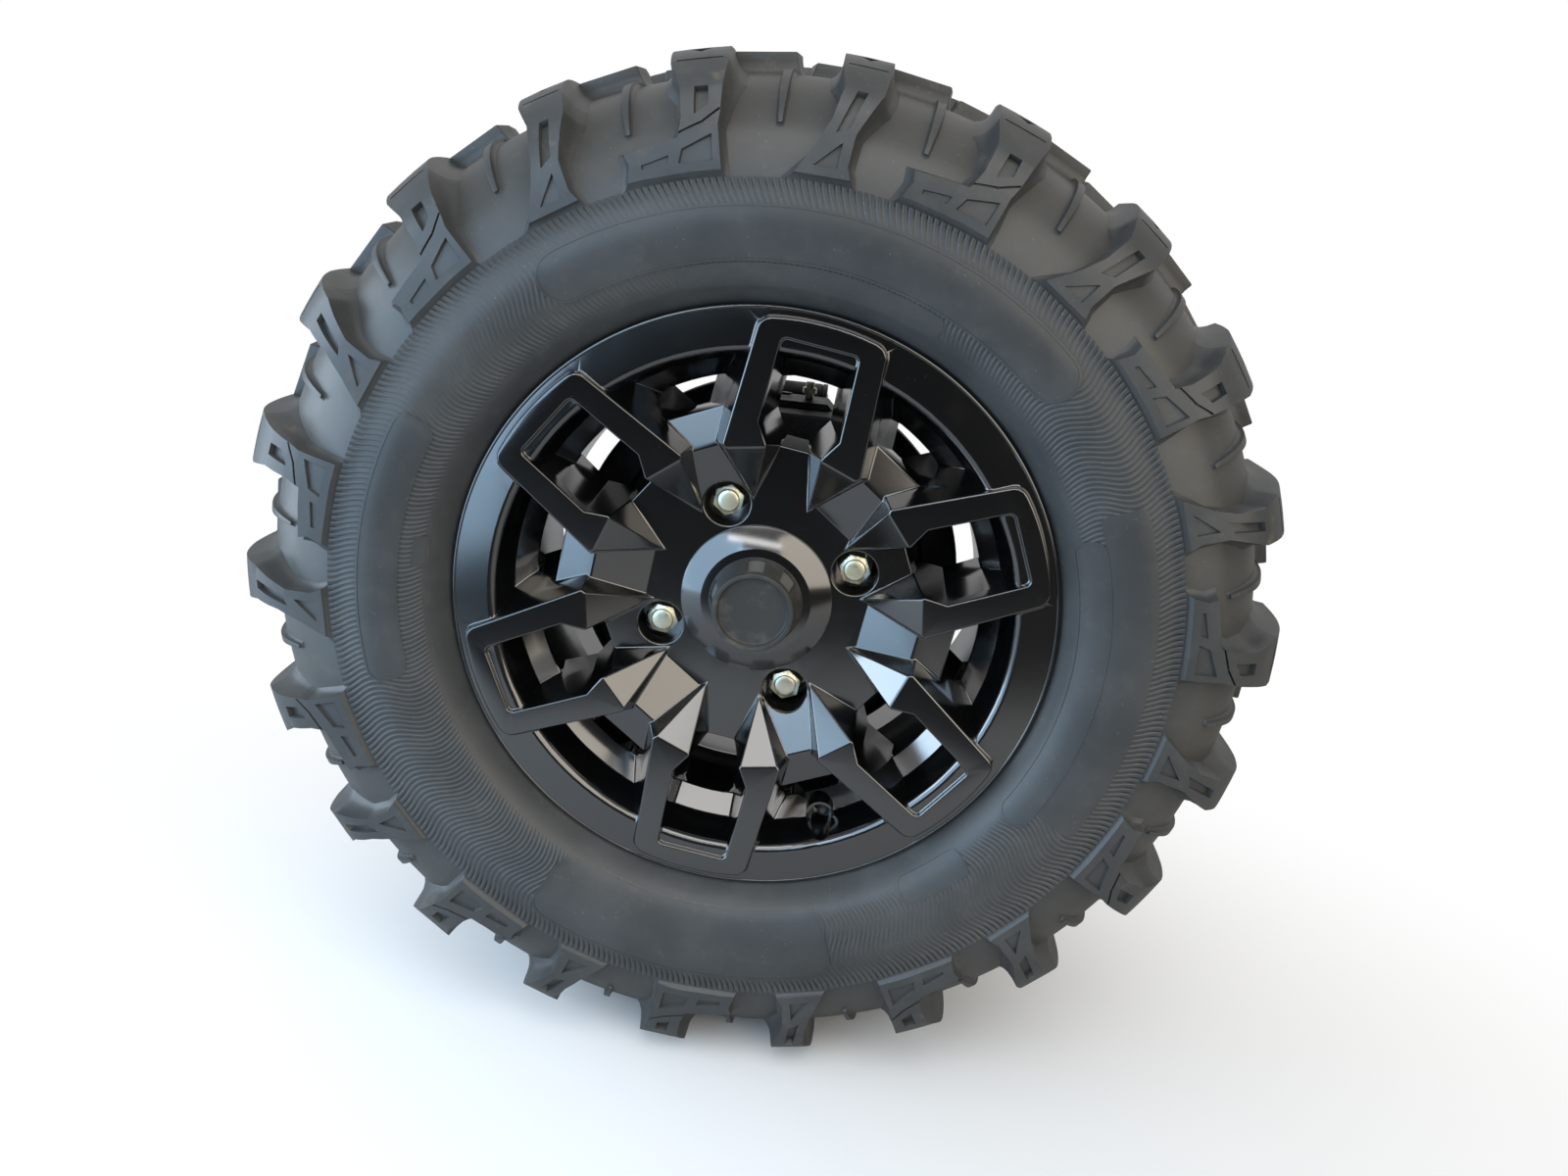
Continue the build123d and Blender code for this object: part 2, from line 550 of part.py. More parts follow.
def make_axle():
    end = DRIVE_FLANGE_Y + DRIVE_FLANGE_T
    collar_end = SLEEVE_END_Y + AXLE_COLLAR_T
    axle = turned([(0, PILOT_Y - 2), (AXLE_R, PILOT_Y - 2), (AXLE_R, SLEEVE_END_Y),
                   (AXLE_COLLAR_R, SLEEVE_END_Y), (AXLE_COLLAR_R, collar_end),
                   (AXLE_SHAFT_R, collar_end + AXLE_COLLAR_ROUND),
                   (AXLE_SHAFT_R, DRIVE_FLANGE_Y - AXLE_FLARE),
                   (AXLE_SHAFT_R + AXLE_FLARE, DRIVE_FLANGE_Y), (DRIVE_FLANGE_R, DRIVE_FLANGE_Y),
                   (DRIVE_FLANGE_R, end), (AXLE_SHAFT_R, end), (AXLE_SHAFT_R, end - DRIVE_DISH),
                   (0, end - DRIVE_DISH)])
    for i in range(DRIVE_BOLTS):
        axle -= at_angle(i * 360 / DRIVE_BOLTS, rod(DRIVE_HOLE_R, DRIVE_FLANGE_Y - 1, end + 1,
                                                    z=DRIVE_CIRCLE_R))
    return axle


def arm(boss_r, boss_length, z):
    """Arm of the knuckle from its housing to one pivot boss, with a rib at each edge."""
    sign = 1 if z > 0 else -1
    root_y = HOUSING_Y + HOUSING_LENGTH / 2
    root_z = sign * (HOUSING_R - ARM_ROOT_HEIGHT / 2)
    root = Pos(0, root_y, root_z) * Rot(90, 0, 0) * Rectangle(ARM_ROOT_WIDTH, ARM_ROOT_HEIGHT)
    tip = Pos(0, PIVOT_Y - boss_r / 2, z) * Rot(90, 0, 0) * Rectangle(boss_length, boss_r)
    solid = loft([root, tip], ruled=True)
    slim_root = Pos(0, root_y, root_z) * Rot(90, 0, 0) * Rectangle(
        ARM_ROOT_WIDTH - 2 * ARM_RIB_T, ARM_ROOT_HEIGHT * ARM_POCKET)
    slim_tip = Pos(0, PIVOT_Y - boss_r / 2, z) * Rot(90, 0, 0) * Rectangle(
        boss_length - 2 * ARM_RIB_T, boss_r * ARM_POCKET)
    inward = (0, 0, -sign * ARM_ROOT_HEIGHT / 2)
    pocket = Pos(*inward) * loft([slim_root, slim_tip], ruled=True)
    return solid - pocket


def make_knuckle():
    body = rod(HOUSING_R, HOUSING_Y, HOUSING_Y + HOUSING_LENGTH)
    body += arm(LOWER_BOSS_R, LOWER_BOSS_LENGTH, LOWER_PIVOT_Z)
    body += arm(UPPER_BOSS_R, UPPER_BOSS_LENGTH, UPPER_PIVOT_Z)
    body += cross_rod(LOWER_BOSS_R, LOWER_BOSS_LENGTH, PIVOT_Y, LOWER_PIVOT_Z)
    body += cross_rod(UPPER_BOSS_R, UPPER_BOSS_LENGTH, PIVOT_Y, UPPER_PIVOT_Z)
    ear_end = CALIPER_BACK_Y + EAR_T
    for side in (-1, 1):
        foot_x = side * EAR_X * EAR_FOOT_SHARE
        body += rod(EAR_R, CALIPER_BACK_Y, ear_end, x=side * EAR_X, z=EAR_Z)
        body += box_between(foot_x - EAR_R, foot_x + EAR_R, CALIPER_BACK_Y, ear_end, EAR_ROOT_Z, EAR_Z)
        body -= rod(CALIPER_BOLT_R, CALIPER_BACK_Y - 1, ear_end + 1, x=side * EAR_X, z=EAR_Z)
    bush_r = PIVOT_HOLE_R + SLEEVE_WALL + BUSH_T
    body -= cross_rod(bush_r, LOWER_BOSS_LENGTH + 2, PIVOT_Y, LOWER_PIVOT_Z)
    body -= cross_rod(bush_r, UPPER_BOSS_LENGTH + 2, PIVOT_Y, UPPER_PIVOT_Z)
    body -= rod(BEARING_R, BEARING_Y, BEARING_Y + BEARING_LENGTH)
    return body - rod(BEARING_R - HOUSING_LIP, HOUSING_Y - 1, PIVOT_Y)


def make_bearing():
    bore = SLEEVE_R + BEARING_CLEARANCE
    end = BEARING_Y + BEARING_LENGTH
    return turned([(bore, BEARING_Y), (BEARING_R, BEARING_Y), (BEARING_R, end), (bore, end)])


def bushing(boss_length, z, side):
    """Flanged bush in one end of a pivot boss; side is the end's sign along X."""
    length = boss_length / 2 - BUSH_GAP
    inner = PIVOT_HOLE_R + SLEEVE_WALL
    x = side * (boss_length - length) / 2
    bush = cross_rod(inner + BUSH_T, length, PIVOT_Y, z, x)
    bush += cross_rod(inner + BUSH_T + BUSH_RIM_R, BUSH_RIM_T, PIVOT_Y, z,
                      side * (boss_length + BUSH_RIM_T) / 2)
    return bush - cross_rod(inner, 2 * boss_length, PIVOT_Y, z)


def pivot_sleeve(boss_length, z):
    length = boss_length + 2 * BUSH_RIM_T + 2
    sleeve = cross_rod(PIVOT_HOLE_R + SLEEVE_WALL, length, PIVOT_Y, z)
    return sleeve - cross_rod(PIVOT_HOLE_R, length + 2, PIVOT_Y, z)


def make_caliper():
    half = CALIPER_HALF_X
    body = box_between(-half, half, CALIPER_FINGER_Y, CALIPER_BACK_Y, CALIPER_BOTTOM_Z, CALIPER_TOP_Z)
    body = chamfer(body.edges().filter_by(Axis.Y).group_by(Axis.Z)[-1], CALIPER_CHAMFER)
    body -= box_between(-half - 1, half + 1, PAD_FRONT_Y, PAD_BACK_Y, CALIPER_BOTTOM_Z - 1,
                        DISC_R + SLOT_CLEARANCE)
    body -= box_between(-half - 1, half + 1, CALIPER_FINGER_Y - 1, PAD_BACK_Y - CALIPER_STEP,
                        CALIPER_TOP_Z - CALIPER_STEP, CALIPER_TOP_Z + 1)
    piston_z = (CALIPER_BOTTOM_Z + CALIPER_TOP_Z) / 2
    body += rod(PISTON_R, CALIPER_BACK_Y - CALIPER_STEP, CALIPER_BACK_Y + PISTON_BOSS_T, z=piston_z)
    for side in (-1, 1):
        x = side * EAR_X
        body += rod(EAR_R, PAD_BACK_Y + CALIPER_STEP, CALIPER_BACK_Y, x=x, z=EAR_Z)
        body += box_between(x - EAR_R, x + EAR_R, PAD_BACK_Y + CALIPER_STEP, CALIPER_BACK_Y, EAR_Z,
                            CALIPER_BOTTOM_Z + 1)
        body -= rod(CALIPER_BOLT_R, PAD_BACK_Y, CALIPER_BACK_Y + 1, x=x, z=EAR_Z)
    return body


def make_pad(side):
    """Brake pad outboard (-1) or inboard (1) of the disc."""
    near = DISC_Y - DISC_GAP if side < 0 else DISC_BACK_Y + DISC_GAP
    y0, y1 = sorted((near, near + side * PAD_T))
    return box_between(-PAD_HALF_X, PAD_HALF_X, y0, y1, CALIPER_BOTTOM_Z, PAD_TOP_Z)


def make_guard():
    """Pressed plate on the housing's outboard end, with a dished edge and a turned rim."""
    dish_y = GUARD_Y - GUARD_DISH
    rim_y = dish_y - GUARD_RIM
    slope = GUARD_DISH_R + GUARD_DISH
    inner = GUARD_R - GUARD_T
    guard = turned([(GUARD_BORE_R, GUARD_Y), (GUARD_DISH_R, GUARD_Y), (slope, dish_y), (inner, dish_y),
                    (inner, rim_y), (GUARD_R, rim_y), (GUARD_R, dish_y + GUARD_T),
                    (slope, dish_y + GUARD_T), (GUARD_DISH_R, HOUSING_Y), (GUARD_BORE_R, HOUSING_Y)])
    half = CALIPER_HALF_X + GUARD_GAP
    guard -= box_between(-half, half, rim_y - 1, HOUSING_Y + 1, EAR_Z - GUARD_GAP, GUARD_R + 1)
    return guard


def caliper_bolt(side):
    back = CALIPER_BACK_Y + EAR_T
    x = side * EAR_X
    bolt = rod(CALIPER_BOLT_R, CALIPER_BACK_Y - CALIPER_BOLT_GRIP, back, x=x, z=EAR_Z)
    return bolt + rod(CALIPER_BOLT_HEAD_R, back, back + CALIPER_BOLT_HEAD_T, x=x, z=EAR_Z)


def make_bleed_screw():
    foot_z = CALIPER_TOP_Z + BLEED_LENGTH / 2
    screw = Cylinder(BLEED_R, BLEED_LENGTH) + Cylinder(BLEED_HEX_R, BLEED_HEX_T)
    return Pos(BLEED_X, CALIPER_BACK_Y - BLEED_LENGTH, foot_z) * screw


def make_valve_stem():
    stem = rod(VALVE_HOLE_R, VALVE_SEAT_Y - VALVE_FOOT_T, VALVE_SEAT_Y + VALVE_ROOT, z=VALVE_R)
    stem += rod(VALVE_STEM_R, VALVE_STEM_Y, VALVE_SEAT_Y, z=VALVE_R)
    return at_angle(VALVE_ANGLE, stem)


def make_valve_cap():
    end = VALVE_STEM_Y + VALVE_CAP_GRIP
    cap = rod(VALVE_CAP_R, end - VALVE_CAP_LENGTH, end, z=VALVE_R)
    cap -= rod(VALVE_STEM_R, VALVE_STEM_Y, end + 1, z=VALVE_R)
    return at_angle(VALVE_ANGLE, cap)


nodes = {
    "tyre": make_tyre(),
    "alloy_wheel": make_alloy_wheel(),
    "centre_cap": make_cap(),
    "valve_stem": make_valve_stem(),
    "valve_cap": make_valve_cap(),
    "wheel_hub": make_hub(),
    "brake_disc": make_disc(),
    "stub_axle": make_axle(),
    "knuckle": make_knuckle(),
    "wheel_bearing": make_bearing(),
    "brake_caliper": make_caliper(),
    "brake_pad_outer": make_pad(-1),
    "brake_pad_inner": make_pad(1),
    "bleed_screw": make_bleed_screw(),
    "dust_guard": make_guard(),
    "lower_pivot_sleeve": pivot_sleeve(LOWER_BOSS_LENGTH, LOWER_PIVOT_Z),
    "upper_pivot_sleeve": pivot_sleeve(UPPER_BOSS_LENGTH, UPPER_PIVOT_Z),
}
for i in range(NUTS):
    place = NUT_ANGLE - i * 360 / NUTS
    nodes[f"lug_nut_{i + 1}"] = at_angle(place, Pos(0, 0, NUT_CIRCLE_R) * make_nut())
    nodes[f"wheel_stud_{i + 1}"] = at_angle(place, Pos(0, 0, NUT_CIRCLE_R) * make_stud())
for i, side in enumerate((-1, 1)):
    nodes[f"caliper_bolt_{i + 1}"] = caliper_bolt(side)
    nodes[f"lower_bushing_{i + 1}"] = bushing(LOWER_BOSS_LENGTH, LOWER_PIVOT_Z, side)
    nodes[f"upper_bushing_{i + 1}"] = bushing(UPPER_BOSS_LENGTH, UPPER_PIVOT_Z, side)

# The part's own frame has its origin at the middle of the lower pivot
os.makedirs("parts", exist_ok=True)
for name, shape in nodes.items():
    export_step(Pos(0, -PIVOT_Y, -LOWER_PIVOT_Z) * shape, f"parts/{name}.step")
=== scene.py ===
# Rear wheel end of a side-by-side utility vehicle: the looks.
# Shapes are made in millimetres in the wheel's own frame and placed at the end: origin on the
# spin axis in the plane of the spoke loops' flats, +X forward, +Y inboard, +Z up. A radius r is
# from the spin axis, a depth y is inboard from that plane, and an angle is from +X towards +Z.
import json
import math

import bmesh
import bpy
from mathutils import Matrix, Vector


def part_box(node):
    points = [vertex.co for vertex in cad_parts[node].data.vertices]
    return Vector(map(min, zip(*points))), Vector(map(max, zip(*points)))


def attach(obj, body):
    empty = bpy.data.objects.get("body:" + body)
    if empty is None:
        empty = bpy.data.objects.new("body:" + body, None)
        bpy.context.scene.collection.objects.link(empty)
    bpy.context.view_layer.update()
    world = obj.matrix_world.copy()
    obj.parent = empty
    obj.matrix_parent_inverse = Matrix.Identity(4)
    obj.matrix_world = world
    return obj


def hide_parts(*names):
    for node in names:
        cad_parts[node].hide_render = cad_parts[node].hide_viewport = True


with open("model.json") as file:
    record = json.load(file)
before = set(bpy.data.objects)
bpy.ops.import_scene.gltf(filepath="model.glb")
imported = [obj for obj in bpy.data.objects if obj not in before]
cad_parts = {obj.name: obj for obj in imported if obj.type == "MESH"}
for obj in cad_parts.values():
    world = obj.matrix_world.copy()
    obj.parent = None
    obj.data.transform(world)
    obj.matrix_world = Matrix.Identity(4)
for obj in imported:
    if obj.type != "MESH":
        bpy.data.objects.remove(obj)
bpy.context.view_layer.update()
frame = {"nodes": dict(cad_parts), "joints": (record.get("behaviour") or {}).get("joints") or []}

MM = 0.001
SPIN = Vector(frame["joints"][0]["pos_m"])
WHEEL = "wheel"
IN_PLACE = Matrix.Translation(SPIN) @ Matrix.Scale(MM, 4)
tyre_low, tyre_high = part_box("tyre")
INSIDE_BOX = 0.05
TYRE_R = (SPIN.z - tyre_low.z) / MM - INSIDE_BOX
MID_Y = ((tyre_high.y + tyre_low.y) / 2 - SPIN.y) / MM
TYRE_HALF_WIDTH = (tyre_high.y - tyre_low.y) / 2 / MM
TO_INBOARD = Matrix.Translation((0, 2 * MID_Y, 0)) @ Matrix.Scale(-1, 4, (0, 1, 0))

# Camera, found from the rim's, spokes' and nuts' places in the photograph
CAMERA_PLACE = Vector((0.0422, -0.9822, 0.3548))
CAMERA_AIM = Vector((-0.0306, 0.9492, -0.31318))
CAMERA_ROLL = 6.09
LENS = 27.295
SENSOR = 36.0


# Shader maths

# Sockets of a Mix node that are used for colours, three inputs and the output
MIX_FACTOR, MIX_BARE, MIX_COVERED = 0, 6, 7
MIX_COLOUR = 2


class Signal:
    """A node's output. Arithmetic on it adds Math nodes to the same material."""

    def __init__(self, tree, socket):
        self.tree = tree
        self.socket = socket

    def node(self, kind, settings, inputs, output=0):
        """Add a node: its settings are set first, then its inputs' values or links."""
        made = self.tree.nodes.new(kind)
        for name, value in settings.items():
            setattr(made, name, value)
        for name, value in inputs.items():
            if isinstance(value, Signal):
                self.tree.links.new(value.socket, made.inputs[name])
            else:
                made.inputs[name].default_value = value
        return Signal(self.tree, made.outputs[output])

    def maths(self, operation, *values):
        inputs = {i: value for i, value in enumerate((self,) + values)}
        return self.node("ShaderNodeMath", {"operation": operation}, inputs)

    def __add__(self, other):
        return self.maths("ADD", other)

    def __radd__(self, other):
        return self.maths("ADD", other)

    def __sub__(self, other):
        return self.maths("SUBTRACT", other)

    def __rsub__(self, other):
        return self.maths("MULTIPLY", -1.0).maths("ADD", other)

    def __mul__(self, other):
        return self.maths("MULTIPLY", other)

    def __rmul__(self, other):
        return self.maths("MULTIPLY", other)

    def __truediv__(self, other):
        return self.maths("DIVIDE", other)

    def __pow__(self, other):
        return self.maths("POWER", other)

    def ramp(self, low, high):
        """0 below low, 1 above high, smooth between them."""
        settings = {"interpolation_type": "SMOOTHSTEP"}
        inputs = {"Value": self, "From Min": low, "From Max": high}
        return self.node("ShaderNodeMapRange", settings, inputs)

    def noise(self, scale, detail=2.0, roughness=0.5):
        inputs = {"Vector": self, "Scale": scale, "Detail": detail, "Roughness": roughness}
        return self.node("ShaderNodeTexNoise", {}, inputs)

    def cells(self, scale):
        """Distance to the nearest of many scattered points."""
        return self.node("ShaderNodeTexVoronoi", {}, {"Vector": self, "Scale": scale})

    def part(self, axis):
        return self.node("ShaderNodeSeparateXYZ", {}, {"Vector": self}, axis)

    def tint(self, bare, covered):
        """Colour that goes from bare to covered as this signal goes from 0 to 1."""
        settings = {"data_type": "RGBA", "clamp_factor": True}
        inputs = {MIX_FACTOR: self, MIX_BARE: bare, MIX_COVERED: covered}
        return self.node("ShaderNodeMix", settings, inputs, MIX_COLOUR)

    def bump(self, depth):
        """Relief of this signal's height in metres times depth."""
        return self.node("ShaderNodeBump", {}, {"Height": self, "Distance": depth, "Strength": 1.0})


def colour(red, green, blue):
    return (red, green, blue, 1.0)


def new_finish(name, constants):
    """A material with its shader's plain values set; returns it, the shader and the place."""
    material = bpy.data.materials.new(name)
    material.use_nodes = True
    tree = material.node_tree
    shader = tree.nodes["Principled BSDF"]
    for socket, value in constants.items():
        shader.inputs[socket].default_value = value
    coordinates = Signal(tree, tree.nodes.new("ShaderNodeTexCoord").outputs["Object"])
    centred = coordinates.node("ShaderNodeMapping", {}, {"Vector": coordinates, "Location": -SPIN})
    return material, shader, centred


def feed(shader, signals):
    for socket, signal in signals.items():
        signal.tree.links.new(signal.socket, shader.inputs[socket])


def axle_distance(place):
    """Radius in metres about the spin axis."""
    x, z = place.part("X"), place.part("Z")
    return (x * x + z * z) ** 0.5


# Finishes. A pattern's scale is in waves to the metre, and a ramp's two numbers are the noise's
# values at which it starts and ends.
RUBBER = colour(0.042, 0.045, 0.047)
# Lighter, browner rubber that paints warm light on the casing towards the crown
RUBBER_GREY = colour(0.064, 0.067, 0.068)
RUBBER_PAINTED_WARM_LIGHT = colour(0.068, 0.067, 0.062)
DUST = colour(0.30, 0.27, 0.22)
CLAY = colour(0.24, 0.19, 0.13)


def rubber(name, clay_share, painted_warm_light_share):
    """Tyre rubber, lightly dusty, soiled towards the crown by the first share, and lighter and
    browner there by the second, a painted warm light.
    """
    material, shader, place = new_finish(name, {"Specular IOR Level": 0.5})
    radius = axle_distance(place)
    grain = place.noise(1900.0, 3.0)
    patches = place.noise(17.0, 4.0, 0.6).ramp(0.35, 0.7)
    specks = (1.0 - place.cells(260.0)).ramp(0.88, 0.93) * place.noise(60.0).ramp(0.52, 0.62)
    dust = place.noise(90.0, 5.0, 0.65).ramp(0.5, 0.8) * 0.07
    grey = (patches * 0.7).tint(RUBBER, RUBBER_GREY)
    # Lighter and browner towards the crown: painted warm light
    painted_warm_light = (radius.ramp(0.262, 0.292) * painted_warm_light_share).tint(grey, RUBBER_PAINTED_WARM_LIGHT)
    dusty = (dust + specks * 0.45).tint(painted_warm_light, DUST)
    clay = place.noise(46.0, 7.0, 0.75).ramp(0.56, 0.7) * radius.ramp(0.275, 0.32) * clay_share
    feed(shader, {
        "Base Color": clay.tint(dusty, CLAY),
        "Roughness": 0.37 + patches * 0.08 + dust * 0.6 + clay * 0.3,
        "Normal": grain.bump(0.00007),
    })
    return material


def black_coat(name, base, gloss, grit, clear=0.0, dust=0.004):
    """Black paint, plastic or rubber under a film and specks of dust.

    gloss is its roughness, grit the height of its texture in metres, clear the share of a glossy
    coat over it and dust how much the film covers.
    """
    material, shader, place = new_finish(name, {
        "Specular IOR Level": 0.5 + 0.5 * clear, "Coat Weight": clear, "Coat IOR": 1.7,
        "Coat Roughness": gloss})
    orange_peel = place.noise(900.0, 2.0)
    film = place.noise(38.0, 5.0, 0.7).ramp(0.5, 0.75)
    specks = (1.0 - place.cells(420.0)).ramp(0.93, 0.96) * place.noise(70.0).ramp(0.52, 0.6)
    feed(shader, {
        "Base Color": (film * dust + specks * 0.5).tint(base, DUST),
        "Roughness": gloss + film * 0.04 + specks * 0.3,
        "Normal": orange_peel.bump(grit),
    })
    return material


def plated(name, base, worn, roughness, scratch):
    """Plated or ground steel: patchy plate over metal, with fine marks."""
    material, shader, place = new_finish(name, {"Metallic": 1.0})
    patches = place.noise(160.0, 4.0, 0.65).ramp(0.35, 0.7)
    fine = place.noise(1800.0, 3.0)
    stain = place.noise(70.0, 5.0, 0.7).ramp(0.6, 0.75)
    shade = patches.tint(base, worn)
    feed(shader, {
        "Base Color": (stain * 0.5).tint(shade, colour(0.40, 0.32, 0.20)),
        "Roughness": roughness + patches * 0.10 + stain * 0.15,
        "Normal": fine.bump(scratch),
    })
    return material


def turned_steel(name, base, roughness, pitch):
    """Lathe-turned steel: fine rings about the spin axis."""
    material, shader, place = new_finish(name, {"Metallic": 1.0})
    radius = axle_distance(place)
    rings = (radius / pitch * math.tau).maths("SINE")
    patches = place.noise(60.0, 5.0, 0.7).ramp(0.4, 0.7)
    feed(shader, {
        "Base Color": (patches * 0.7).tint(base, colour(0.20, 0.15, 0.11)),
        "Roughness": roughness + patches * 0.2,
        "Normal": (rings + place.noise(1500.0) * 0.6).bump(0.00002),
    })
    return material


def rough_casting(name, base, grey, roughness):
    """Painted sand-cast metal, or a lining as coarse."""
    material, shader, place = new_finish(name, {"Metallic": 0.0, "Specular IOR Level": 0.3})
    sand = place.noise(700.0, 4.0, 0.6)
    patches = place.noise(50.0, 5.0, 0.65).ramp(0.42, 0.72)
    feed(shader, {
        "Base Color": patches.tint(base, grey),
        "Roughness": roughness + patches * 0.15,
        "Normal": sand.bump(0.0004),
    })
    return material


FINISHES = {name: make(name, *values) for name, make, *values in [
    ("sidewall_rubber", rubber, 0.2, 0.75),
    ("panel_rubber", rubber, 0.0, 0.0),
    ("tread_rubber", rubber, 0.35, 0.2),
    ("wheel_coat", black_coat, colour(0.0022, 0.0024, 0.0027), 0.14, 0.000005, 1.0),
    ("cap_gloss", black_coat, colour(0.004, 0.0044, 0.005), 0.13, 0.000005, 1.0),
    ("cap_matt", black_coat, colour(0.034, 0.034, 0.033), 0.46, 0.00006, 0.0, 0.22),
    ("cap_notch", black_coat, colour(0.13, 0.13, 0.12), 0.5, 0.00006, 0.0, 0.3),
    ("valve_rubber", black_coat, colour(0.06, 0.06, 0.06), 0.45, 0.00008),
    ("zinc", plated, colour(0.86, 0.85, 0.72), colour(0.80, 0.75, 0.50), 0.33, 0.00003),
    ("hub_steel", turned_steel, colour(0.34, 0.34, 0.35), 0.34, 0.0006),
    ("disc_steel", turned_steel, colour(0.50, 0.50, 0.50), 0.28, 0.0009),
    ("bearing_steel", plated, colour(0.56, 0.56, 0.57), colour(0.4, 0.4, 0.4), 0.25, 0.00001),
    ("knuckle_paint", rough_casting, colour(0.010, 0.010, 0.011), colour(0.020, 0.019, 0.017),
     0.40),
    ("caliper_cast", rough_casting, colour(0.013, 0.013, 0.014), colour(0.024, 0.023, 0.021),
     0.36),
    ("pad_lining", rough_casting, colour(0.07, 0.062, 0.056), colour(0.035, 0.032, 0.03),
     0.75),
    ("bush_plastic", black_coat, colour(0.03, 0.03, 0.03), 0.45, 0.00004),
]}


# Mesh helpers

def turn_to(angle):
    """Turns what points up to an angle from +X towards +Z."""
    return Matrix.Rotation(math.radians(90 - angle), 4, "Y")


# Turn of one step of a rounded corner, in degrees
ARC_STEP = 18


def rounded(points):
    """Outline through (a, b) or (a, b, radius) points, those with a radius rounded by an arc."""
    outline = []
    for i, point in enumerate(points):
        corner = Vector(point[:2])
        if len(point) < 3:
            outline.append(corner)
            continue
        before = (Vector(points[i - 1][:2]) - corner).normalized()
        after = (Vector(points[(i + 1) % len(points)][:2]) - corner).normalized()
        half = before.angle(after) / 2
        reach = point[2] / math.tan(half)
        centre = corner + (before + after).normalized() * point[2] / math.sin(half)
        start = corner + before * reach - centre
        sweep = start.angle_signed(corner + after * reach - centre)
        steps = max(2, round(abs(sweep) / math.radians(ARC_STEP)))
        for k in range(steps + 1):
            outline.append(centre + Matrix.Rotation(-sweep * k / steps, 2) @ start)
    return outline


def even_steps(start, end, count):
    """Values from start to end in so many even steps, both ends included."""
    return [start + (end - start) * i / count for i in range(count + 1)]


def settle(bm):
    """Put the mesh in the order of its places: spinning leaves it in a random order."""
    for parts, place in (
            (bm.verts, lambda vert: vert.co[:]),
            (bm.edges, lambda edge: sorted(vert.index for vert in edge.verts)),
            (bm.faces, lambda face: sorted(vert.index for vert in face.verts))):
        rank = {part: i for i, part in enumerate(sorted(parts, key=place))}
        parts.sort(key=rank.get)
        parts.index_update()


def ring(bm, points):
    """Closed loop of edges through 3-D points."""
    verts = [bm.verts.new(point) for point in points]
    return [bm.edges.new((a, b)) for a, b in zip(verts, verts[1:] + verts[:1])]


def lathe(outline, steps, closed=True):
    """Turned piece from (r, y) points."""
    bm = bmesh.new()
    verts = [bm.verts.new((point[0], point[1], 0)) for point in outline]
    edges = [bm.edges.new(pair) for pair in zip(verts, verts[1:])]
    if closed:
        edges.append(bm.edges.new((verts[-1], verts[0])))
    bmesh.ops.spin(bm, geom=verts + edges, cent=(0, 0, 0), axis=(0, 1, 0), angle=math.tau,
                   steps=steps, use_merge=True)
    bmesh.ops.remove_doubles(bm, verts=bm.verts, dist=0.001)
    bmesh.ops.recalc_face_normals(bm, faces=bm.faces)
    settle(bm)
    return bm


def cut(bm, faces, point, normal):
    """Cut the faces by a plane. A dict, unlike a set, keeps them in the same order."""
    geom = dict.fromkeys(faces)
    for face in faces:
        geom.update(dict.fromkeys([*face.edges, *face.verts]))
    bmesh.ops.bisect_plane(bm, geom=list(geom), dist=0.0001, plane_co=point, plane_no=normal)


def sharp_edges(bm, degrees):
    """Edges between faces that meet at more than so many degrees."""
    limit = math.radians(degrees)
    return [edge for edge in bm.edges
            if len(edge.link_faces) == 2 and edge.calc_face_angle(0) > limit]


def pull(bm, faces):
    """Extrude faces and drop the old ones; returns the new corners and the new faces.

    Blender's own extruding makes the walls in a random order.
    """
    corners = dict.fromkeys(vert for face in faces for vert in face.verts)
    corners = {vert: bm.verts.new(vert.co) for vert in corners}
    rim = [loop for face in faces for loop in face.loops
           if sum(other in faces for other in loop.edge.link_faces) == 1]
    moved = [bm.faces.new([corners[vert] for vert in face.verts]) for face in faces]
    for a, b in [(loop.vert, loop.link_loop_next.vert) for loop in rim]:
        bm.faces.new((a, b, corners[b], corners[a]))
    bmesh.ops.delete(bm, geom=faces, context="FACES_ONLY")
    bm.normal_update()
    return list(corners.values()), moved


def bevel(bm, edges, width, segments):
    bmesh.ops.bevel(bm, geom=edges, offset=width, offset_type="OFFSET", affect="EDGES",
                    segments=segments, profile=0.5, material=-1, clamp_overlap=True)


def add(bm, other, matrix=None, flip=False):
    """Add a copy of another mesh, placed by a matrix."""
    mesh = bpy.data.meshes.new("part")
    other.to_mesh(mesh)
    if matrix is not None:
        mesh.transform(matrix)
    if flip:
        mesh.flip_normals()
    bm.from_mesh(mesh)
    bpy.data.meshes.remove(mesh)


def finish_piece(bm, name, body, finishes, replaced=(), smooth=32):
    """Make the mesh an object at the origin with its place in its mesh.

    Faces that meet at less than smooth degrees are shaded as one; 0 leaves the mesh as it is.
    """
    bm.transform(IN_PLACE)
    mesh = bpy.data.meshes.new(name)
    bm.to_mesh(mesh)
    bm.free()
    if smooth:
        mesh.shade_smooth()
        mesh.set_sharp_from_angle(angle=math.radians(smooth))
    for finish in finishes:
        mesh.materials.append(FINISHES[finish])
    piece = bpy.data.objects.new(name, mesh)
    bpy.context.scene.collection.objects.link(piece)
    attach(piece, body)
    if replaced:
        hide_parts(*replaced)
    return piece


def round_edges(piece, width, segments):
    """Bevel and shading modifiers; returns the bevel, to be told which edges it takes."""
    edges = piece.modifiers.new("edges", "BEVEL")
    edges.width = width * MM
    edges.segments = segments
    edges.use_clamp_overlap = False
    shading = piece.modifiers.new("shading", "WEIGHTED_NORMAL")
    shading.keep_sharp = True
    return edges


# Smooth curves through a table's rows

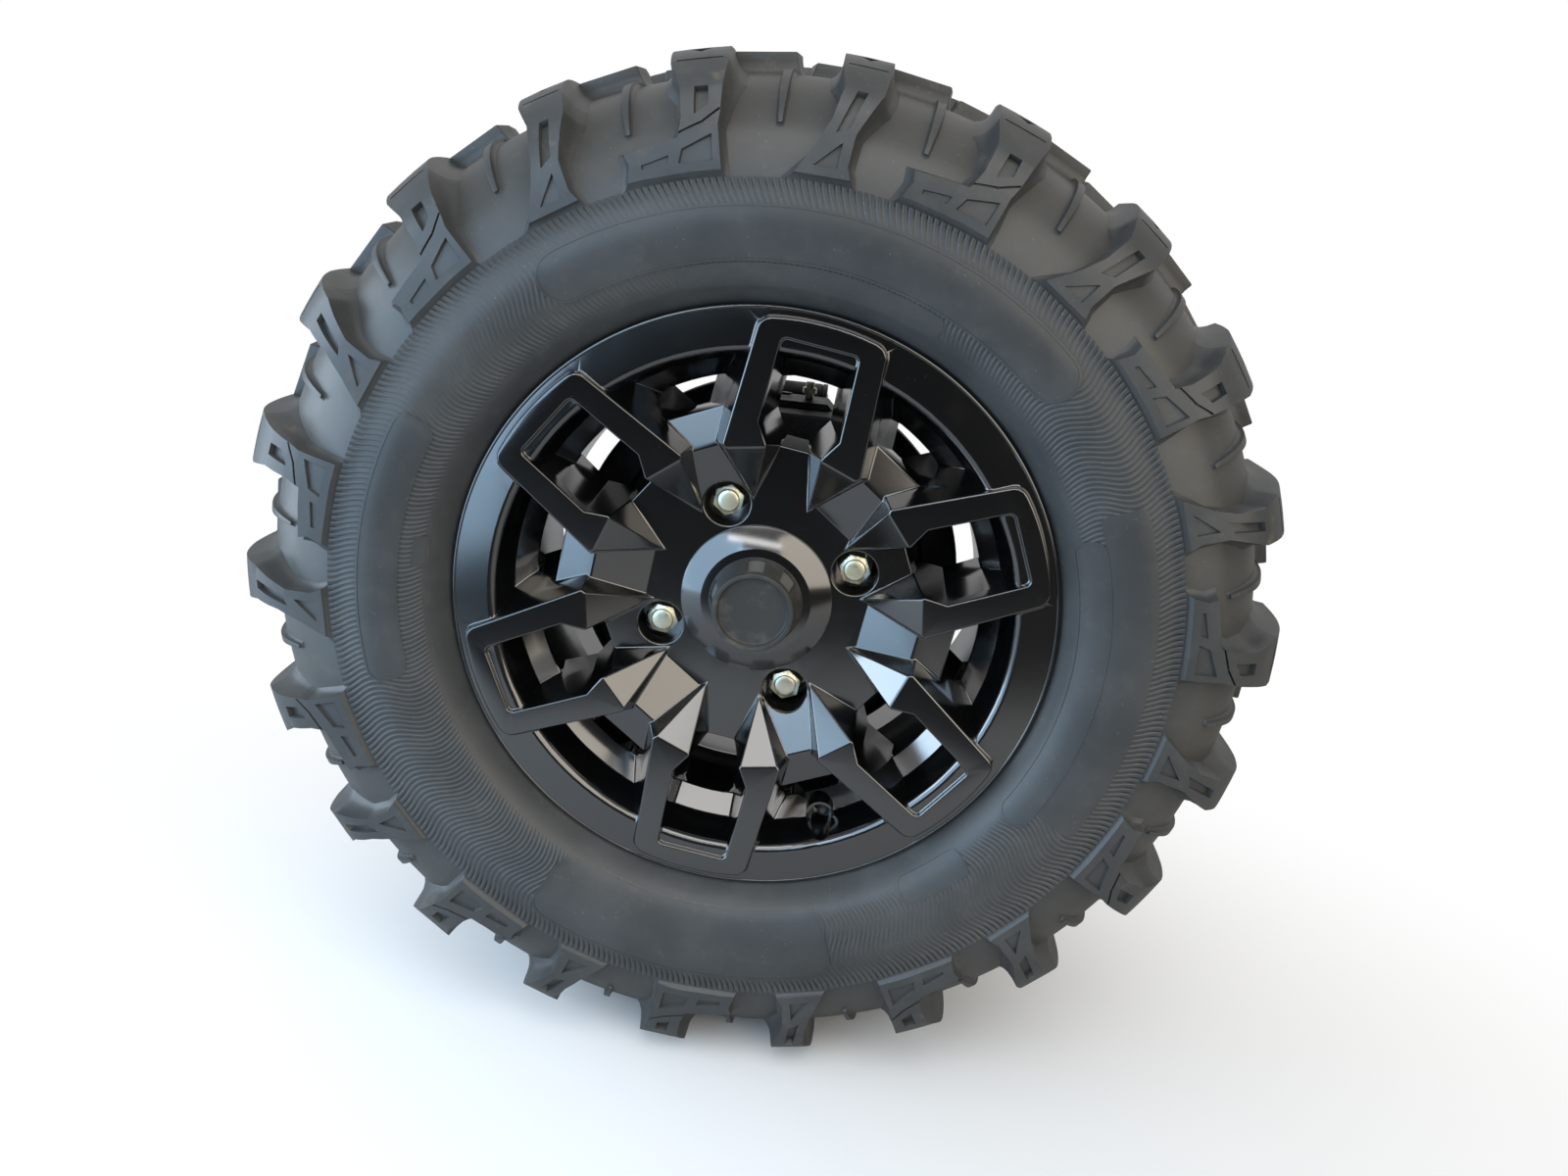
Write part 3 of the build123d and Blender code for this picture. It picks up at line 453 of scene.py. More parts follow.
def on_curve(rows, t):
    """Values at t on a smooth curve through rows whose first column is t."""
    i = 0
    while i < len(rows) - 2 and rows[i + 1][0] < t:
        i += 1
    a, b = rows[i], rows[i + 1]
    before, after = rows[max(i - 1, 0)], rows[min(i + 2, len(rows) - 1)]
    span = b[0] - a[0]
    s = (t - a[0]) / span
    values = []
    for c in range(1, len(a)):
        leave = (b[c] - before[c]) / (b[0] - before[0]) * span
        arrive = (after[c] - a[c]) / (after[0] - a[0]) * span
        values.append((2 * s ** 3 - 3 * s ** 2 + 1) * a[c] + (s ** 3 - 2 * s ** 2 + s) * leave
                      + (3 * s ** 2 - 2 * s ** 3) * b[c] + (s ** 3 - s ** 2) * arrive)
    return values


# Tyre. TREAD's columns: distance along the lugs' faces from the foot, then the faces' distance
# from the mid plane and radius, then those of the casing below them. The others' rows are a
# radius and a distance from the mid plane.
CROWN = TYRE_R
WIDE = TYRE_HALF_WIDTH
TREAD = [
    (-12.0, WIDE - 0.6, CROWN - 82.4, WIDE - 2.2, CROWN - 84.1),
    (0.0, WIDE - 0.3, CROWN - 70.2, WIDE - 4.8, CROWN - 71.8),
    (11.6, WIDE - 0.1, CROWN - 58.6, WIDE - 8.7, CROWN - 60.0),
    (25.7, WIDE - 1.6, CROWN - 44.6, WIDE - 14.0, CROWN - 48.1),
    (40.6, WIDE - 6.5, CROWN - 30.6, WIDE - 22.5, CROWN - 37.6),
    (56.0, WIDE - 15.5, CROWN - 18.1, WIDE - 32.0, CROWN - 29.1),
    (73.2, WIDE - 29.5, CROWN - 8.1, WIDE - 44.0, CROWN - 22.3),
    (90.5, WIDE - 46.0, CROWN - 2.9, WIDE - 58.0, CROWN - 17.4),
    (110.6, WIDE - 66.0, CROWN - 0.5, WIDE - 74.0, CROWN - 14.6),
    (133.6, WIDE - 89.0, CROWN, WIDE - 92.0, CROWN - 13.1),
    (158.6, WIDE - 114.0, CROWN, WIDE - 115.0, CROWN - 12.3),
    (178.6, 0.0, CROWN, 0.0, CROWN - 12.1),
]
SIDEWALL = [
    (198.6, WIDE - 29.5), (203.5, WIDE - 21.0), (211.0, WIDE - 12.5), (222.0, WIDE - 7.0),
    (234.0, WIDE - 3.0), (246.0, WIDE - 0.9), (CROWN - 84.1, WIDE - 2.2),
]
BEAD = [(178.7, 84.0), (178.7, 97.0), (182.0, 101.0), (196.8, 101.2)]
LINER = [(305.0, 84.0), (285.0, 108.0), (240.0, 118.0), (205.0, 97.0)]
LUG_HEIGHT = 15.0
POCKET_TAPER = 0.9
LUG_PITCHES = 11
LUG_PITCH = 360 / LUG_PITCHES
NARROW_ANGLE = 86.8
WIDE_ANGLE = 71.5
INBOARD_STAGGER = 8.18
CASING_STEPS = 264
SIDEWALL_STEPS = 26
TREAD_STEPS = 34


def casing():
    """Turned body of the tyre: beads, sidewalls, the tread's floor and the liner."""
    half = BEAD + [(r, on_curve(SIDEWALL, r)[0])
                   for r in even_steps(SIDEWALL[0][0], SIDEWALL[-1][0], SIDEWALL_STEPS)]
    for t in even_steps(TREAD[0][0], TREAD[-1][0], TREAD_STEPS)[1:]:
        w, r = on_curve(TREAD, t)[2:]
        half.append((r, w))
    outline = [(r, MID_Y - w) for r, w in half]
    outline += [(r, MID_Y + w) for r, w in reversed(half[:-1])]
    inner = [(r, MID_Y + w) for r, w in reversed(LINER)]
    outline += inner + [(r, 2 * MID_Y - y) for r, y in reversed(inner)]
    return lathe(outline, CASING_STEPS)


def wrap_tread(bm):
    """Bend a flat shape (sideways, along the faces, height) onto the outboard half."""
    for vert in bm.verts:
        u, t, height = vert.co
        face_w, face_r, base_w, base_r = on_curve(TREAD, t)
        share = height / LUG_HEIGHT
        w = base_w + share * (face_w - base_w)
        r = base_r + share * (face_r - base_r)
        vert.co = (r * math.sin(u / r), MID_Y - w, r * math.cos(u / r))


def cross_cut(bm, start, end, step, axis=(0, 1, 0)):
    """Cut a flat shape across an axis at even steps, so that it can bend."""
    for along in even_steps(start, end, max(1, round((end - start) / step)))[1:-1]:
        cut(bm, list(bm.faces), Vector(axis) * along, axis)


def on_top(face):
    """Whether a face lies in the top of a flat block."""
    return abs(face.calc_center_median().z - LUG_HEIGHT) < 0.01


def pocket(bm, outline, depth):
    """Sink a convex pocket with an (u, t) outline into the top of a flat block."""
    corners = [Vector((u, t, LUG_HEIGHT)) for u, t in outline]
    middle = sum(corners, Vector()) / len(corners)
    sides = []
    for a, b in zip(corners, corners[1:] + corners[:1]):
        normal = (b - a).cross(Vector((0, 0, 1))).normalized()
        if normal.dot(middle - a) > 0:
            normal = -normal
        sides.append((a, normal))
        cut(bm, [face for face in bm.faces if face.normal.z > 0.99 and on_top(face)], a, normal)
    inside = [face for face in bm.faces if on_top(face)
              and all(n.dot(face.calc_center_median() - a) < 0 for a, n in sides)]
    for vert in pull(bm, inside)[0]:
        vert.co = middle + (vert.co - middle) * POCKET_TAPER - Vector((0, 0, depth))


# Walls of a lug: (height as a share, how far out towards its foot as a share)
LUG_WALL = [(0.62, 0.1), (0.34, 0.28), (0.14, 0.6), (0.02, 0.98), (-0.14, 1.3)]
LUG_SHARP = 35


def block(face_outline, foot_outline, pockets, edge, segments=3):
    """A lug in flat form: face, flared walls down into the casing, sunk pockets, bevels."""
    bm = bmesh.new()
    loops = [ring(bm, [(u, t, LUG_HEIGHT) for u, t in face_outline])]
    bmesh.ops.contextual_create(bm, geom=loops[0])
    for share, out in LUG_WALL:
        points = []
        for (fu, ft), (bu, bt) in zip(face_outline, foot_outline):
            points.append((fu + out * (bu - fu), ft + out * (bt - ft), share * LUG_HEIGHT))
        loops.append(ring(bm, points))
    for upper, lower in zip(loops, loops[1:]):
        bmesh.ops.bridge_loops(bm, edges=upper + lower)
    bmesh.ops.recalc_face_normals(bm, faces=bm.faces)
    for outline, depth in pockets:
        pocket(bm, outline, depth)
    bmesh.ops.dissolve_limit(bm, angle_limit=math.radians(0.5), verts=bm.verts, edges=bm.edges)
    bevel(bm, sharp_edges(bm, LUG_SHARP), edge, segments)
    return bm


NARROW_FACE = [(-14.5, 0), (-4.1, 16.7), (2.2, 30.9), (5.8, 50), (2.5, 68.7), (2, 100), (3, 163),
               (29, 163), (31, 100), (30.4, 67), (28.6, 50), (16.3, 23.7), (14.7, 6.6), (17.3, 0)]
NARROW_FOOT = [(-22.5, -3), (-5.8, 14.5), (0.4, 30.5), (4, 50), (-3, 69), (-5, 100), (-4, 169),
               (36, 169), (37, 100), (36.5, 66), (33.5, 49), (20.6, 23.7), (18.9, 6.6), (22, -4)]
NARROW_POCKETS = [
    ([(13.4, 48.8), (19.3, 48.8), (12.9, 26.8), (5.2, 23.2)], 3.2),
    ([(-4.5, 4.6), (9.9, 18.5), (9.0, 4.6)], 3.6),
    ([(5.5, 70.4), (5.5, 71.6), (28, 71.6), (28, 70.4)], 1.6),
    ([(11, 92), (22, 92), (17, 82)], 3.0),
    ([(12, 108), (20, 108), (19, 146), (13, 146)], 4.0),
]
WIDE_FACE = [(-25.5, 0), (-23, 9.3), (-25, 15), (6.5, 18.5), (9.9, 28.5), (11.2, 47.3), (6.2, 66.2),
             (5.5, 100), (5.5, 133), (38, 133), (38.5, 100), (39.5, 66.2), (35.2, 47.3),
             (32, 30.9), (29.6, 23.7), (27.8, 0)]
WIDE_FOOT = [(-31.5, -4), (-28, 9), (-30, 18), (2, 21.5), (5.5, 30), (5.5, 47.5), (-2, 66.5),
             (-3, 100), (-2, 140), (45, 140), (46, 100), (46, 66), (40.5, 47),
             (35, 30.5), (32.5, 23.5), (31.8, -4)]
WIDE_POCKETS = [
    ([(-16.4, 7.4), (0.1, 10.1), (-1.6, 5.2), (-16.4, 5.2)], 3.2),
    ([(7.6, 12.4), (25.6, 19.1), (23.8, 5.0), (4.4, 5.0)], 3.6),
    ([(7.0, 20.2), (21.5, 24.9), (20.9, 26.1), (6.9, 21.5)], 2.5),
    ([(21.5, 24.9), (32.0, 31.6), (32.0, 33.0), (20.9, 26.1)], 2.5),
    ([(19.1, 46), (26.9, 46), (26.0, 34.6), (17.2, 30)], 3.2),
    ([(9.5, 68.4), (9.5, 69.6), (36, 69.6), (36, 68.4)], 1.6),
    ([(16, 90), (29, 90), (23, 80)], 3.0),
    ([(16, 104), (28, 104), (26, 122), (18, 122)], 4.0),
]
GAP_RIB = [(-1.2, 29), (1.2, 29), (2.3, 60), (2.8, 128), (-2.8, 128), (-2.3, 60)]
GAP_RIB_FOOT = [(-2.4, 27.5), (2.4, 27.5), (3.8, 60), (4.4, 130), (-4.4, 130), (-3.8, 60)]
CENTRE_FACE = [(-40, 131), (3, 131), (5, 152), (3, 174), (-36, 174), (-40, 152)]
CENTRE_FOOT = [(-46, 124), (7, 124), (10, 152), (8, 176), (-42, 176), (-46, 152)]
CENTRE_POCKETS = [([(-22, 146), (-6, 146), (-8, 151), (-20, 151)], 4.0)]
CENTRE_DROP = 0.6
LUG_EDGE = 0.9
RIB_HEIGHT = 3.4
RIB_EDGE = 0.5
CENTRE_EDGE = 2.2
# Places of the first ribs and centre blocks, one after each kind of lug
GAP_ANGLES = [92.0, 75.9]


def gap_rib():
    """Low rib of the tread's floor in flat form."""
    bm = block(GAP_RIB, GAP_RIB_FOOT, [], RIB_EDGE, 2)
    for vert in bm.verts:
        if vert.co.z > 0:
            vert.co.z *= RIB_HEIGHT / LUG_HEIGHT
    return bm


def tread():
    """All the lugs, ribs and centre blocks of both halves."""
    narrow = block(NARROW_FACE, NARROW_FOOT, NARROW_POCKETS, LUG_EDGE)
    cross_cut(narrow, -4, 167, 7)
    wide = block(WIDE_FACE, WIDE_FOOT, WIDE_POCKETS, LUG_EDGE)
    cross_cut(wide, -4, 137, 7)
    rib = gap_rib()
    cross_cut(rib, 27, 130, 8)
    centre = block(CENTRE_FACE, CENTRE_FOOT, CENTRE_POCKETS, CENTRE_EDGE)
    cross_cut(centre, 124, 176, 9)
    bmesh.ops.translate(centre, verts=centre.verts, vec=(0, 0, -CENTRE_DROP))
    whole = bmesh.new()
    parts = [(narrow, NARROW_ANGLE), (wide, WIDE_ANGLE)]
    parts += [(part, angle) for part in (rib, centre) for angle in GAP_ANGLES]
    for part, angle in parts:
        bent = part.copy()
        wrap_tread(bent)
        for i in range(LUG_PITCHES):
            place = angle - i * LUG_PITCH
            add(whole, bent, turn_to(place))
            add(whole, bent, turn_to(place - INBOARD_STAGGER) @ TO_INBOARD, flip=True)
        bent.free()
    return whole


# Smooth panels of the sidewall: start and end angle, inner and outer radius, corner radius,
# height of the thin ridge round them
PANELS = [
    (43.7, 125.8, 223.0, 254.0, 15.4, 0.4),
    (64.0, 106.5, 207.5, 222.0, 6.0, 0.0),
    (-28.0, 25.0, 224.6, 252.0, 4.0, 0.0),
    (-32.5, 21.5, 206.0, 225.0, 8.0, 0.4),
    (-56.5, -43.0, 206.0, 225.0, 7.0, 0.4),
    (-121.5, -71.5, 209.0, 258.0, 14.0, 0.4),
    (152.5, 195.5, 225.0, 250.0, 9.0, 0.4),
    (171.0, 176.5, 209.0, 218.0, 2.0, 0.4),
]
PANEL_RIDGE = 1.3
PANEL_LIFT = 0.45
PANEL_ROOT = 0.5
PANEL_STEP_ALONG = 5.0
PANEL_STEP_OUT = 4.0


def side_point(angle, r, height):
    """Point at an angle, a radius and a height over the outboard sidewall."""
    w = on_curve(SIDEWALL, r)[0]
    slope = on_curve(SIDEWALL, r + 0.5)[0] - on_curve(SIDEWALL, r - 0.5)[0]
    lean = math.hypot(1, slope)
    r -= slope / lean * height
    w += height / lean
    return (r * math.cos(angle), MID_Y - w, r * math.sin(angle))


def panels():
    """Raised plates with a ridge round them, made flat and bent onto the sidewall."""
    whole = bmesh.new()
    for start, end, inner_r, outer_r, corner, ridge in PANELS:
        bm = bmesh.new()
        middle_r = (inner_r + outer_r) / 2
        half = math.radians(end - start) / 2 * middle_r
        box = [(-half, inner_r, corner), (half, inner_r, corner), (half, outer_r, corner),
               (-half, outer_r, corner)]
        outline = ring(bm, [(s, r, -PANEL_ROOT) for s, r in rounded(box)])
        face = bmesh.ops.contextual_create(bm, geom=outline)["faces"]
        corners, plate = pull(bm, face)
        bmesh.ops.translate(bm, verts=corners, vec=(0, 0, PANEL_ROOT + PANEL_LIFT))
        band = bmesh.ops.inset_region(bm, faces=plate, thickness=PANEL_RIDGE)["faces"]
        for vert in pull(bm, band)[0]:
            vert.co.z += ridge
        cross_cut(bm, -half, half, PANEL_STEP_ALONG, (1, 0, 0))
        cross_cut(bm, inner_r, outer_r, PANEL_STEP_OUT)
        centre = math.radians(start + end) / 2
        for vert in bm.verts:
            s, r, height = vert.co
            vert.co = side_point(centre + s / middle_r, r, height)
        bmesh.ops.recalc_face_normals(bm, faces=bm.faces)
        add(whole, bm)
        bm.free()
    return whole


# Fine wavy lines of the sidewalls. A line's section is (distance across, height). It sinks to
# LINE_ROOT over LINE_FADE at both ends.
LINE_COUNT = 432
LINE_FROM_R = 209.0
LINE_TO_R = 268.0
LINE_ZERO_R = 213.0
LINE_WAVE = 46.0
LINE_SWING = 3.9
LINE_DRIFT = 0.04
LINE_SECTION = [(-1.4, -0.25), (-1.0, 0.20), (0.0, 0.29), (1.0, 0.20), (1.4, -0.25)]
LINE_STEPS = 22
LINE_FADE = 4.0
LINE_ROOT = -0.3


def side_lines():
    """One line, spun round the outboard sidewall and mirrored to the inboard one."""
    line = bmesh.new()
    bmesh.ops.create_grid(line, x_segments=len(LINE_SECTION) - 1, y_segments=LINE_STEPS, size=1)
    for vert in line.verts:
        across, height = LINE_SECTION[round((vert.co.x + 1) / 2 * (len(LINE_SECTION) - 1))]
        r = LINE_FROM_R + (vert.co.y + 1) / 2 * (LINE_TO_R - LINE_FROM_R)
        along = r - LINE_ZERO_R
        shift = LINE_SWING * math.sin(math.tau * along / LINE_WAVE) - LINE_DRIFT * along
        fade = min(1, (r - LINE_FROM_R) / LINE_FADE, (LINE_TO_R - r) / LINE_FADE)
        vert.co = side_point((shift + across) / r, r, LINE_ROOT + fade * (height - LINE_ROOT))
    bmesh.ops.spin(line, geom=line.verts[:] + line.edges[:] + line.faces[:], cent=(0, 0, 0),
                   axis=(0, 1, 0), angle=math.tau * (LINE_COUNT - 1) / LINE_COUNT,
                   steps=LINE_COUNT - 1, use_duplicate=True)
    for face in line.faces:
        if face.normal.y > 0:
            face.normal_flip()
    whole = bmesh.new()
    add(whole, line)
    add(whole, line, TO_INBOARD, flip=True)
    line.free()
    return whole


def make_tyre():
    finish_piece(casing(), "tyre_casing", WHEEL, ["sidewall_rubber"], ["tyre"])
    finish_piece(tread(), "tyre_tread", WHEEL, ["tread_rubber"], smooth=28)
    finish_piece(panels(), "tyre_side_panels", WHEEL, ["panel_rubber"])
    finish_piece(side_lines(), "tyre_side_lines", WHEEL, ["sidewall_rubber"],
                 smooth=80)


# Centre cap: its outline in (r, y), and the notches in the wall of its nose
CAP_OUTLINE = [
    (0, 12.6), (22.6, 12.6, 0.8), (23.8, 9.0, 0.5), (26.6, 9.0, 0.9), (27.4, 12.8), (31.2, 30.0),
    (31.6, 31.2), (37.0, 31.6, 1.2), (51.2, 37.6, 0.7), (51.4, 39.6), (43.6, 39.6), (43.6, 57.0),
    (40.6, 57.0), (40.6, 42.0), (30.0, 36.0), (22.0, 16.0), (0, 16.0),
]
CAP_STEPS = 160
CAP_NOSE_FOOT = 31.8
CAP_NOTCHES = [165.0, 92.0, 45.0]
CAP_NOTCH_FROM_R = 27.5
CAP_NOTCH_FROM_Y = 12.8
CAP_NOTCH_TO_Y = 30.5
CAP_NOTCH_WIDTH = 12.0
CAP_NOTCH_DEPTH = 1.8


def make_cap():
    bm = lathe(rounded(CAP_OUTLINE), CAP_STEPS, closed=False)
    floors = []
    for notch in CAP_NOTCHES:
        inside = []
        for face in bm.faces:
            centre = face.calc_center_median()
            r = math.hypot(centre.x, centre.z)
            turn = math.radians(notch) - math.atan2(centre.z, centre.x)
            across = abs(math.remainder(turn, math.tau)) * r
            if (CAP_NOTCH_FROM_R < r < CAP_NOSE_FOOT and across < CAP_NOTCH_WIDTH / 2
                    and CAP_NOTCH_FROM_Y < centre.y < CAP_NOTCH_TO_Y):
                inside.append(face)
        corners, sunk = pull(bm, inside)
        floors += sunk
        for vert in corners:
            vert.co -= Vector((vert.co.x, 0, vert.co.z)).normalized() * CAP_NOTCH_DEPTH
    for face in bm.faces:
        centre = face.calc_center_median()
        face.material_index = 0 if math.hypot(centre.x, centre.z) > CAP_NOSE_FOOT else 1
    for face in floors:
        face.material_index = 2
    finish_piece(bm, "cap", WHEEL, ["cap_gloss", "cap_matt", "cap_notch"],
                 ["centre_cap"])


# Nuts. NUT_SECTION has (y from the seat, radius) of the round foot, NUT_CHAMFER the radii that
# hold in the hexagon's end, and NUT_END the (radius, y from the end) of the domed end.
NUTS = 4
NUT_ANGLE = 111.8
NUT_CIRCLE_R = 68.5
NUT_SEAT_Y = 68.0
NUT_LENGTH = 22.0
NUT_ACROSS = 19.0
NUT_STEPS = 96
NUT_SECTION = [(-0.2, 11.9), (-1.4, 12.1), (-3.0, 11.2), (-3.8, 10.4)]
NUT_SIDE_FOOT = 4.4
NUT_CHAMFER = [11.2, 10.7, 10.2, 9.8, 9.5, 8.4, 7.4]
NUT_CHAMFER_END = 1.5
NUT_CHAMFER_RISE = 0.42
NUT_END = [(7.2, 1.3), (6.9, 0.75), (6.0, 0.42), (4.4, 0.18), (2.4, 0.04), (0.8, 0.0)]


def nut_ring(bm, y, limit, across=math.inf):
    """Loop on a hexagon of that width, held within a circle; the circle alone without one."""
    points = []
    for k in range(NUT_STEPS):
        turn = math.tau * (k + 0.5) / NUT_STEPS
        side = turn % (math.pi / 3) - math.pi / 6
        r = min(limit, across / 2 / math.cos(side))
        points.append((r * math.cos(turn), y, r * math.sin(turn)))
    return ring(bm, points)


def make_nut_mesh():
    bm = bmesh.new()
    end = NUT_SEAT_Y - NUT_LENGTH
    loops = [nut_ring(bm, NUT_SEAT_Y + y, r) for y, r in NUT_SECTION]
    loops.append(nut_ring(bm, NUT_SEAT_Y - NUT_SIDE_FOOT, math.inf, NUT_ACROSS))
    for r in NUT_CHAMFER:
        rise = (r - NUT_CHAMFER[-1]) * NUT_CHAMFER_RISE
        loops.append(nut_ring(bm, end + NUT_CHAMFER_END + rise, r, NUT_ACROSS))
    loops += [nut_ring(bm, end + y, r) for r, y in NUT_END]
    for lower, upper in zip(loops, loops[1:]):
        bmesh.ops.bridge_loops(bm, edges=lower + upper)
    bmesh.ops.contextual_create(bm, geom=loops[0])
    bmesh.ops.contextual_create(bm, geom=loops[-1])
    bmesh.ops.recalc_face_normals(bm, faces=bm.faces)
    return bm


def make_nuts():
    nut = make_nut_mesh()
    for i in range(NUTS):
        placed = nut.copy()
        placed.transform(turn_to(NUT_ANGLE - i * 360 / NUTS)
                         @ Matrix.Translation((0, 0, NUT_CIRCLE_R)))
        finish_piece(placed, f"wheel_nut_{i + 1}", WHEEL, ["zinc"],
                     [f"lug_nut_{i + 1}"])
    nut.free()


# Valve: outlines in (r, y) about its own axis, and how far it sits aside and out of its seat
VALVE_ANGLE = -68.1
VALVE_R = 161.5
VALVE_ASIDE = -1.6
VALVE_OUT = 0.8
VALVE_STEPS = 48
VALVE_CAP = [(0, 33.2), (2.0, 33.2, 0.8), (2.6, 34.4), (4.4, 35.6, 0.8), (4.6, 43.0, 0.4),
             (0, 43.0)]
VALVE_TUBE = [(0, 40.0), (4.1, 40.0), (4.3, 43.0), (5.6, 44.4, 0.8), (5.6, 52.0), (0, 52.0)]


def make_valve():
    seat = turn_to(VALVE_ANGLE) @ Matrix.Translation((VALVE_ASIDE, 0, VALVE_R + VALVE_OUT))
    for outline, name, finish, slot, node in (
            (VALVE_CAP, "valve_dust_cap", "cap_matt", "cap_plastic", "valve_cap"),
            (VALVE_TUBE, "valve_tube", "valve_rubber", "valve_rubber", "valve_stem")):
        bm = lathe(rounded(outline), VALVE_STEPS)
        bm.transform(seat)
        finish_piece(bm, name, WHEEL, [finish], [node])


# Cast wheel. Its sharp edges are rounded, apart from those past EDGE_TO_R that lie inboard of
# LOOP_TOP_Y, those inboard of EDGE_TO_Y and those near the valve. RIM_EDGE is the section of
# the lip's outer edge.
WELD = 0.01
WHEEL_EDGE = 1.0
WHEEL_EDGE_STEPS = 3
WHEEL_EDGE_ANGLE = 31
WHEEL_CREASE_ANGLE = 22
EDGE_TO_R = 188.0
EDGE_TO_Y = 47.0
LOOP_TOP_Y = 2.5
VALVE_ROOM = 17.0
RIM_EDGE = [(194.4, 3.97), (197.3, 3.97, 1.7), (197.3, 8.9), (194.4, 8.9)]
RIM_EDGE_STEPS = 360


def make_wheel():
    """A merged copy of the CAD wheel with its edges rounded, and a turned edge on its lip."""
    bm = bmesh.new()
    bm.from_mesh(frame["nodes"]["alloy_wheel"].data)
    bm.transform(IN_PLACE.inverted())
    bmesh.ops.remove_doubles(bm, verts=bm.verts, dist=WELD)
    weights = bm.edges.layers.float.new("bevel_weight_edge")
    valve = turn_to(VALVE_ANGLE) @ Vector((0, 0, VALVE_R))
    for edge in sharp_edges(bm, WHEEL_EDGE_ANGLE):
        kept = any(vert.co.y > EDGE_TO_Y
                   or math.hypot(vert.co.x, vert.co.z) > EDGE_TO_R and vert.co.y > LOOP_TOP_Y
                   or math.hypot(vert.co.x - valve.x, vert.co.z - valve.z) < VALVE_ROOM
                   for vert in edge.verts)
        edge[weights] = 0.0 if kept else 1.0
    for face in bm.faces:
        face.smooth = True
    for edge in sharp_edges(bm, WHEEL_CREASE_ANGLE):
        edge.smooth = edge[weights] > 0
    rim_edge = lathe(rounded(RIM_EDGE), RIM_EDGE_STEPS)
    for face in rim_edge.faces:
        face.smooth = True
    add(bm, rim_edge)
    rim_edge.free()
    wheel = finish_piece(bm, "cast_wheel", WHEEL, ["wheel_coat"], ["alloy_wheel"],
                         smooth=0)
    edges = round_edges(wheel, WHEEL_EDGE, WHEEL_EDGE_STEPS)
    edges.limit_method = "WEIGHT"
    edges.loop_slide = False


# CAD nodes that stay: finish and edge width in millimetres
KEPT_EDGE_STEPS = 2
KEPT_EDGE_ANGLE = 28
KEPT = {
    "wheel_hub": ("hub_steel", 0.6),
    "brake_disc": ("disc_steel", 0.4),
    "stub_axle": ("hub_steel", 0.6),
    "knuckle": ("knuckle_paint", 1.6),
    "dust_guard": ("knuckle_paint", 0.4),
    "wheel_bearing": ("bearing_steel", 0.5),
    "brake_caliper": ("caliper_cast", 1.2),
    "brake_pad_outer": ("pad_lining", 0.5),
    "brake_pad_inner": ("pad_lining", 0.5),
    "bleed_screw": ("zinc", 0.3),
    "lower_pivot_sleeve": ("bearing_steel", 0.5),
    "upper_pivot_sleeve": ("bearing_steel", 0.5),
}
for i in range(1, 5):
    KEPT[f"wheel_stud_{i}"] = ("zinc", 0.5)
for i in (1, 2):
    KEPT[f"caliper_bolt_{i}"] = ("zinc", 0.5)
    KEPT[f"lower_bushing_{i}"] = ("bush_plastic", 0.5)
    KEPT[f"upper_bushing_{i}"] = ("bush_plastic", 0.5)


def dress(node, finish, edge):
    """Finish on a CAD node, its edges rounded by modifiers."""
    piece = frame["nodes"][node]
    for slot in piece.material_slots:
        slot.material = FINISHES[finish]
    weld = piece.modifiers.new("weld", "WELD")
    weld.merge_threshold = WELD * MM
    edges = round_edges(piece, edge, KEPT_EDGE_STEPS)
    edges.limit_method = "ANGLE"
    edges.angle_limit = math.radians(KEPT_EDGE_ANGLE)


# Floor, light and camera. Lengths here are in metres.

# Share of the white background that mirrored and refracted rays see
MIRRORED_WHITE = 0.25
FLOOR_HALF = 60.0
FLOOR_PALE = colour(0.93, 0.93, 0.93)
# Floor colour that rays other than the camera's see towards the camera: painted shade
FLOOR_PAINTED_SHADE = colour(0.008, 0.008, 0.008)
# Distances from the wheel between which the floor goes over into the white background
FLOOR_NEAR = 0.3
FLOOR_FAR = 1.0
# Depths between which the floor behind the wheel turns white in mirrored rays
WHITE_FROM_Y = 0.3
WHITE_TO_Y = 2.2
# Apart from camera rays the floor is dim towards the camera, a painted shade, and this pale from
# the second of these depths on, a painted light near the wheel for its reflections
PAINTED_LIGHT_FROM_Y = -0.85
PAINTED_LIGHT_TO_Y = -0.6
PAINTED_LIGHT_SHARE = 0.42
# Brightness of the sky all over, and what it gains upwards and behind the wheel
SKY = 0.04
SKY_UP = 0.35
SKY_BEHIND = 0.3
# Depths of a direction between which the sky turns white in mirrored rays
SKY_WHITE_FROM = -0.2
SKY_WHITE_TO = 0.3
# Lamps: place, width and height, watts and tone
LAMPS = {
    "left_window": ((-0.78, -0.965, 0.24), (1.06, 0.97), 9.8, (0.50, 0.74, 1.0)),
    "left_pane": ((-0.36, -1.565, 0.477), (0.30, 0.48), 1.3, (0.56, 0.78, 1.0)),
    "right_window": ((1.04, -1.39, 0.606), (1.6, 1.27), 15.0, (1.0, 0.91, 0.78)),
    "left_door": ((-1.35, -0.38, 0.25), (1.1, 0.95), 15, (0.70, 0.85, 1.0)),
    "ceiling": ((0.1, -1.75, 2.2), (2.2, 1.1), 22, (1.0, 0.98, 0.96)),
    "strip": ((-0.25, -1.70, 0.98), (1.3, 0.13), 2.8, (1.0, 1.0, 0.98)),
}


def seen_ray(tree, inboard):
    """1 for camera rays, less for mirrored and refracted ones to the picture's background."""
    path = tree.nodes.new("ShaderNodeLightPath").outputs
    mirrored = Signal(tree, path["Is Glossy Ray"]) + Signal(tree, path["Is Transmission Ray"])
    seen = Signal(tree, path["Is Camera Ray"]) + mirrored * inboard * MIRRORED_WHITE
    return seen.maths("MINIMUM", 1.0)


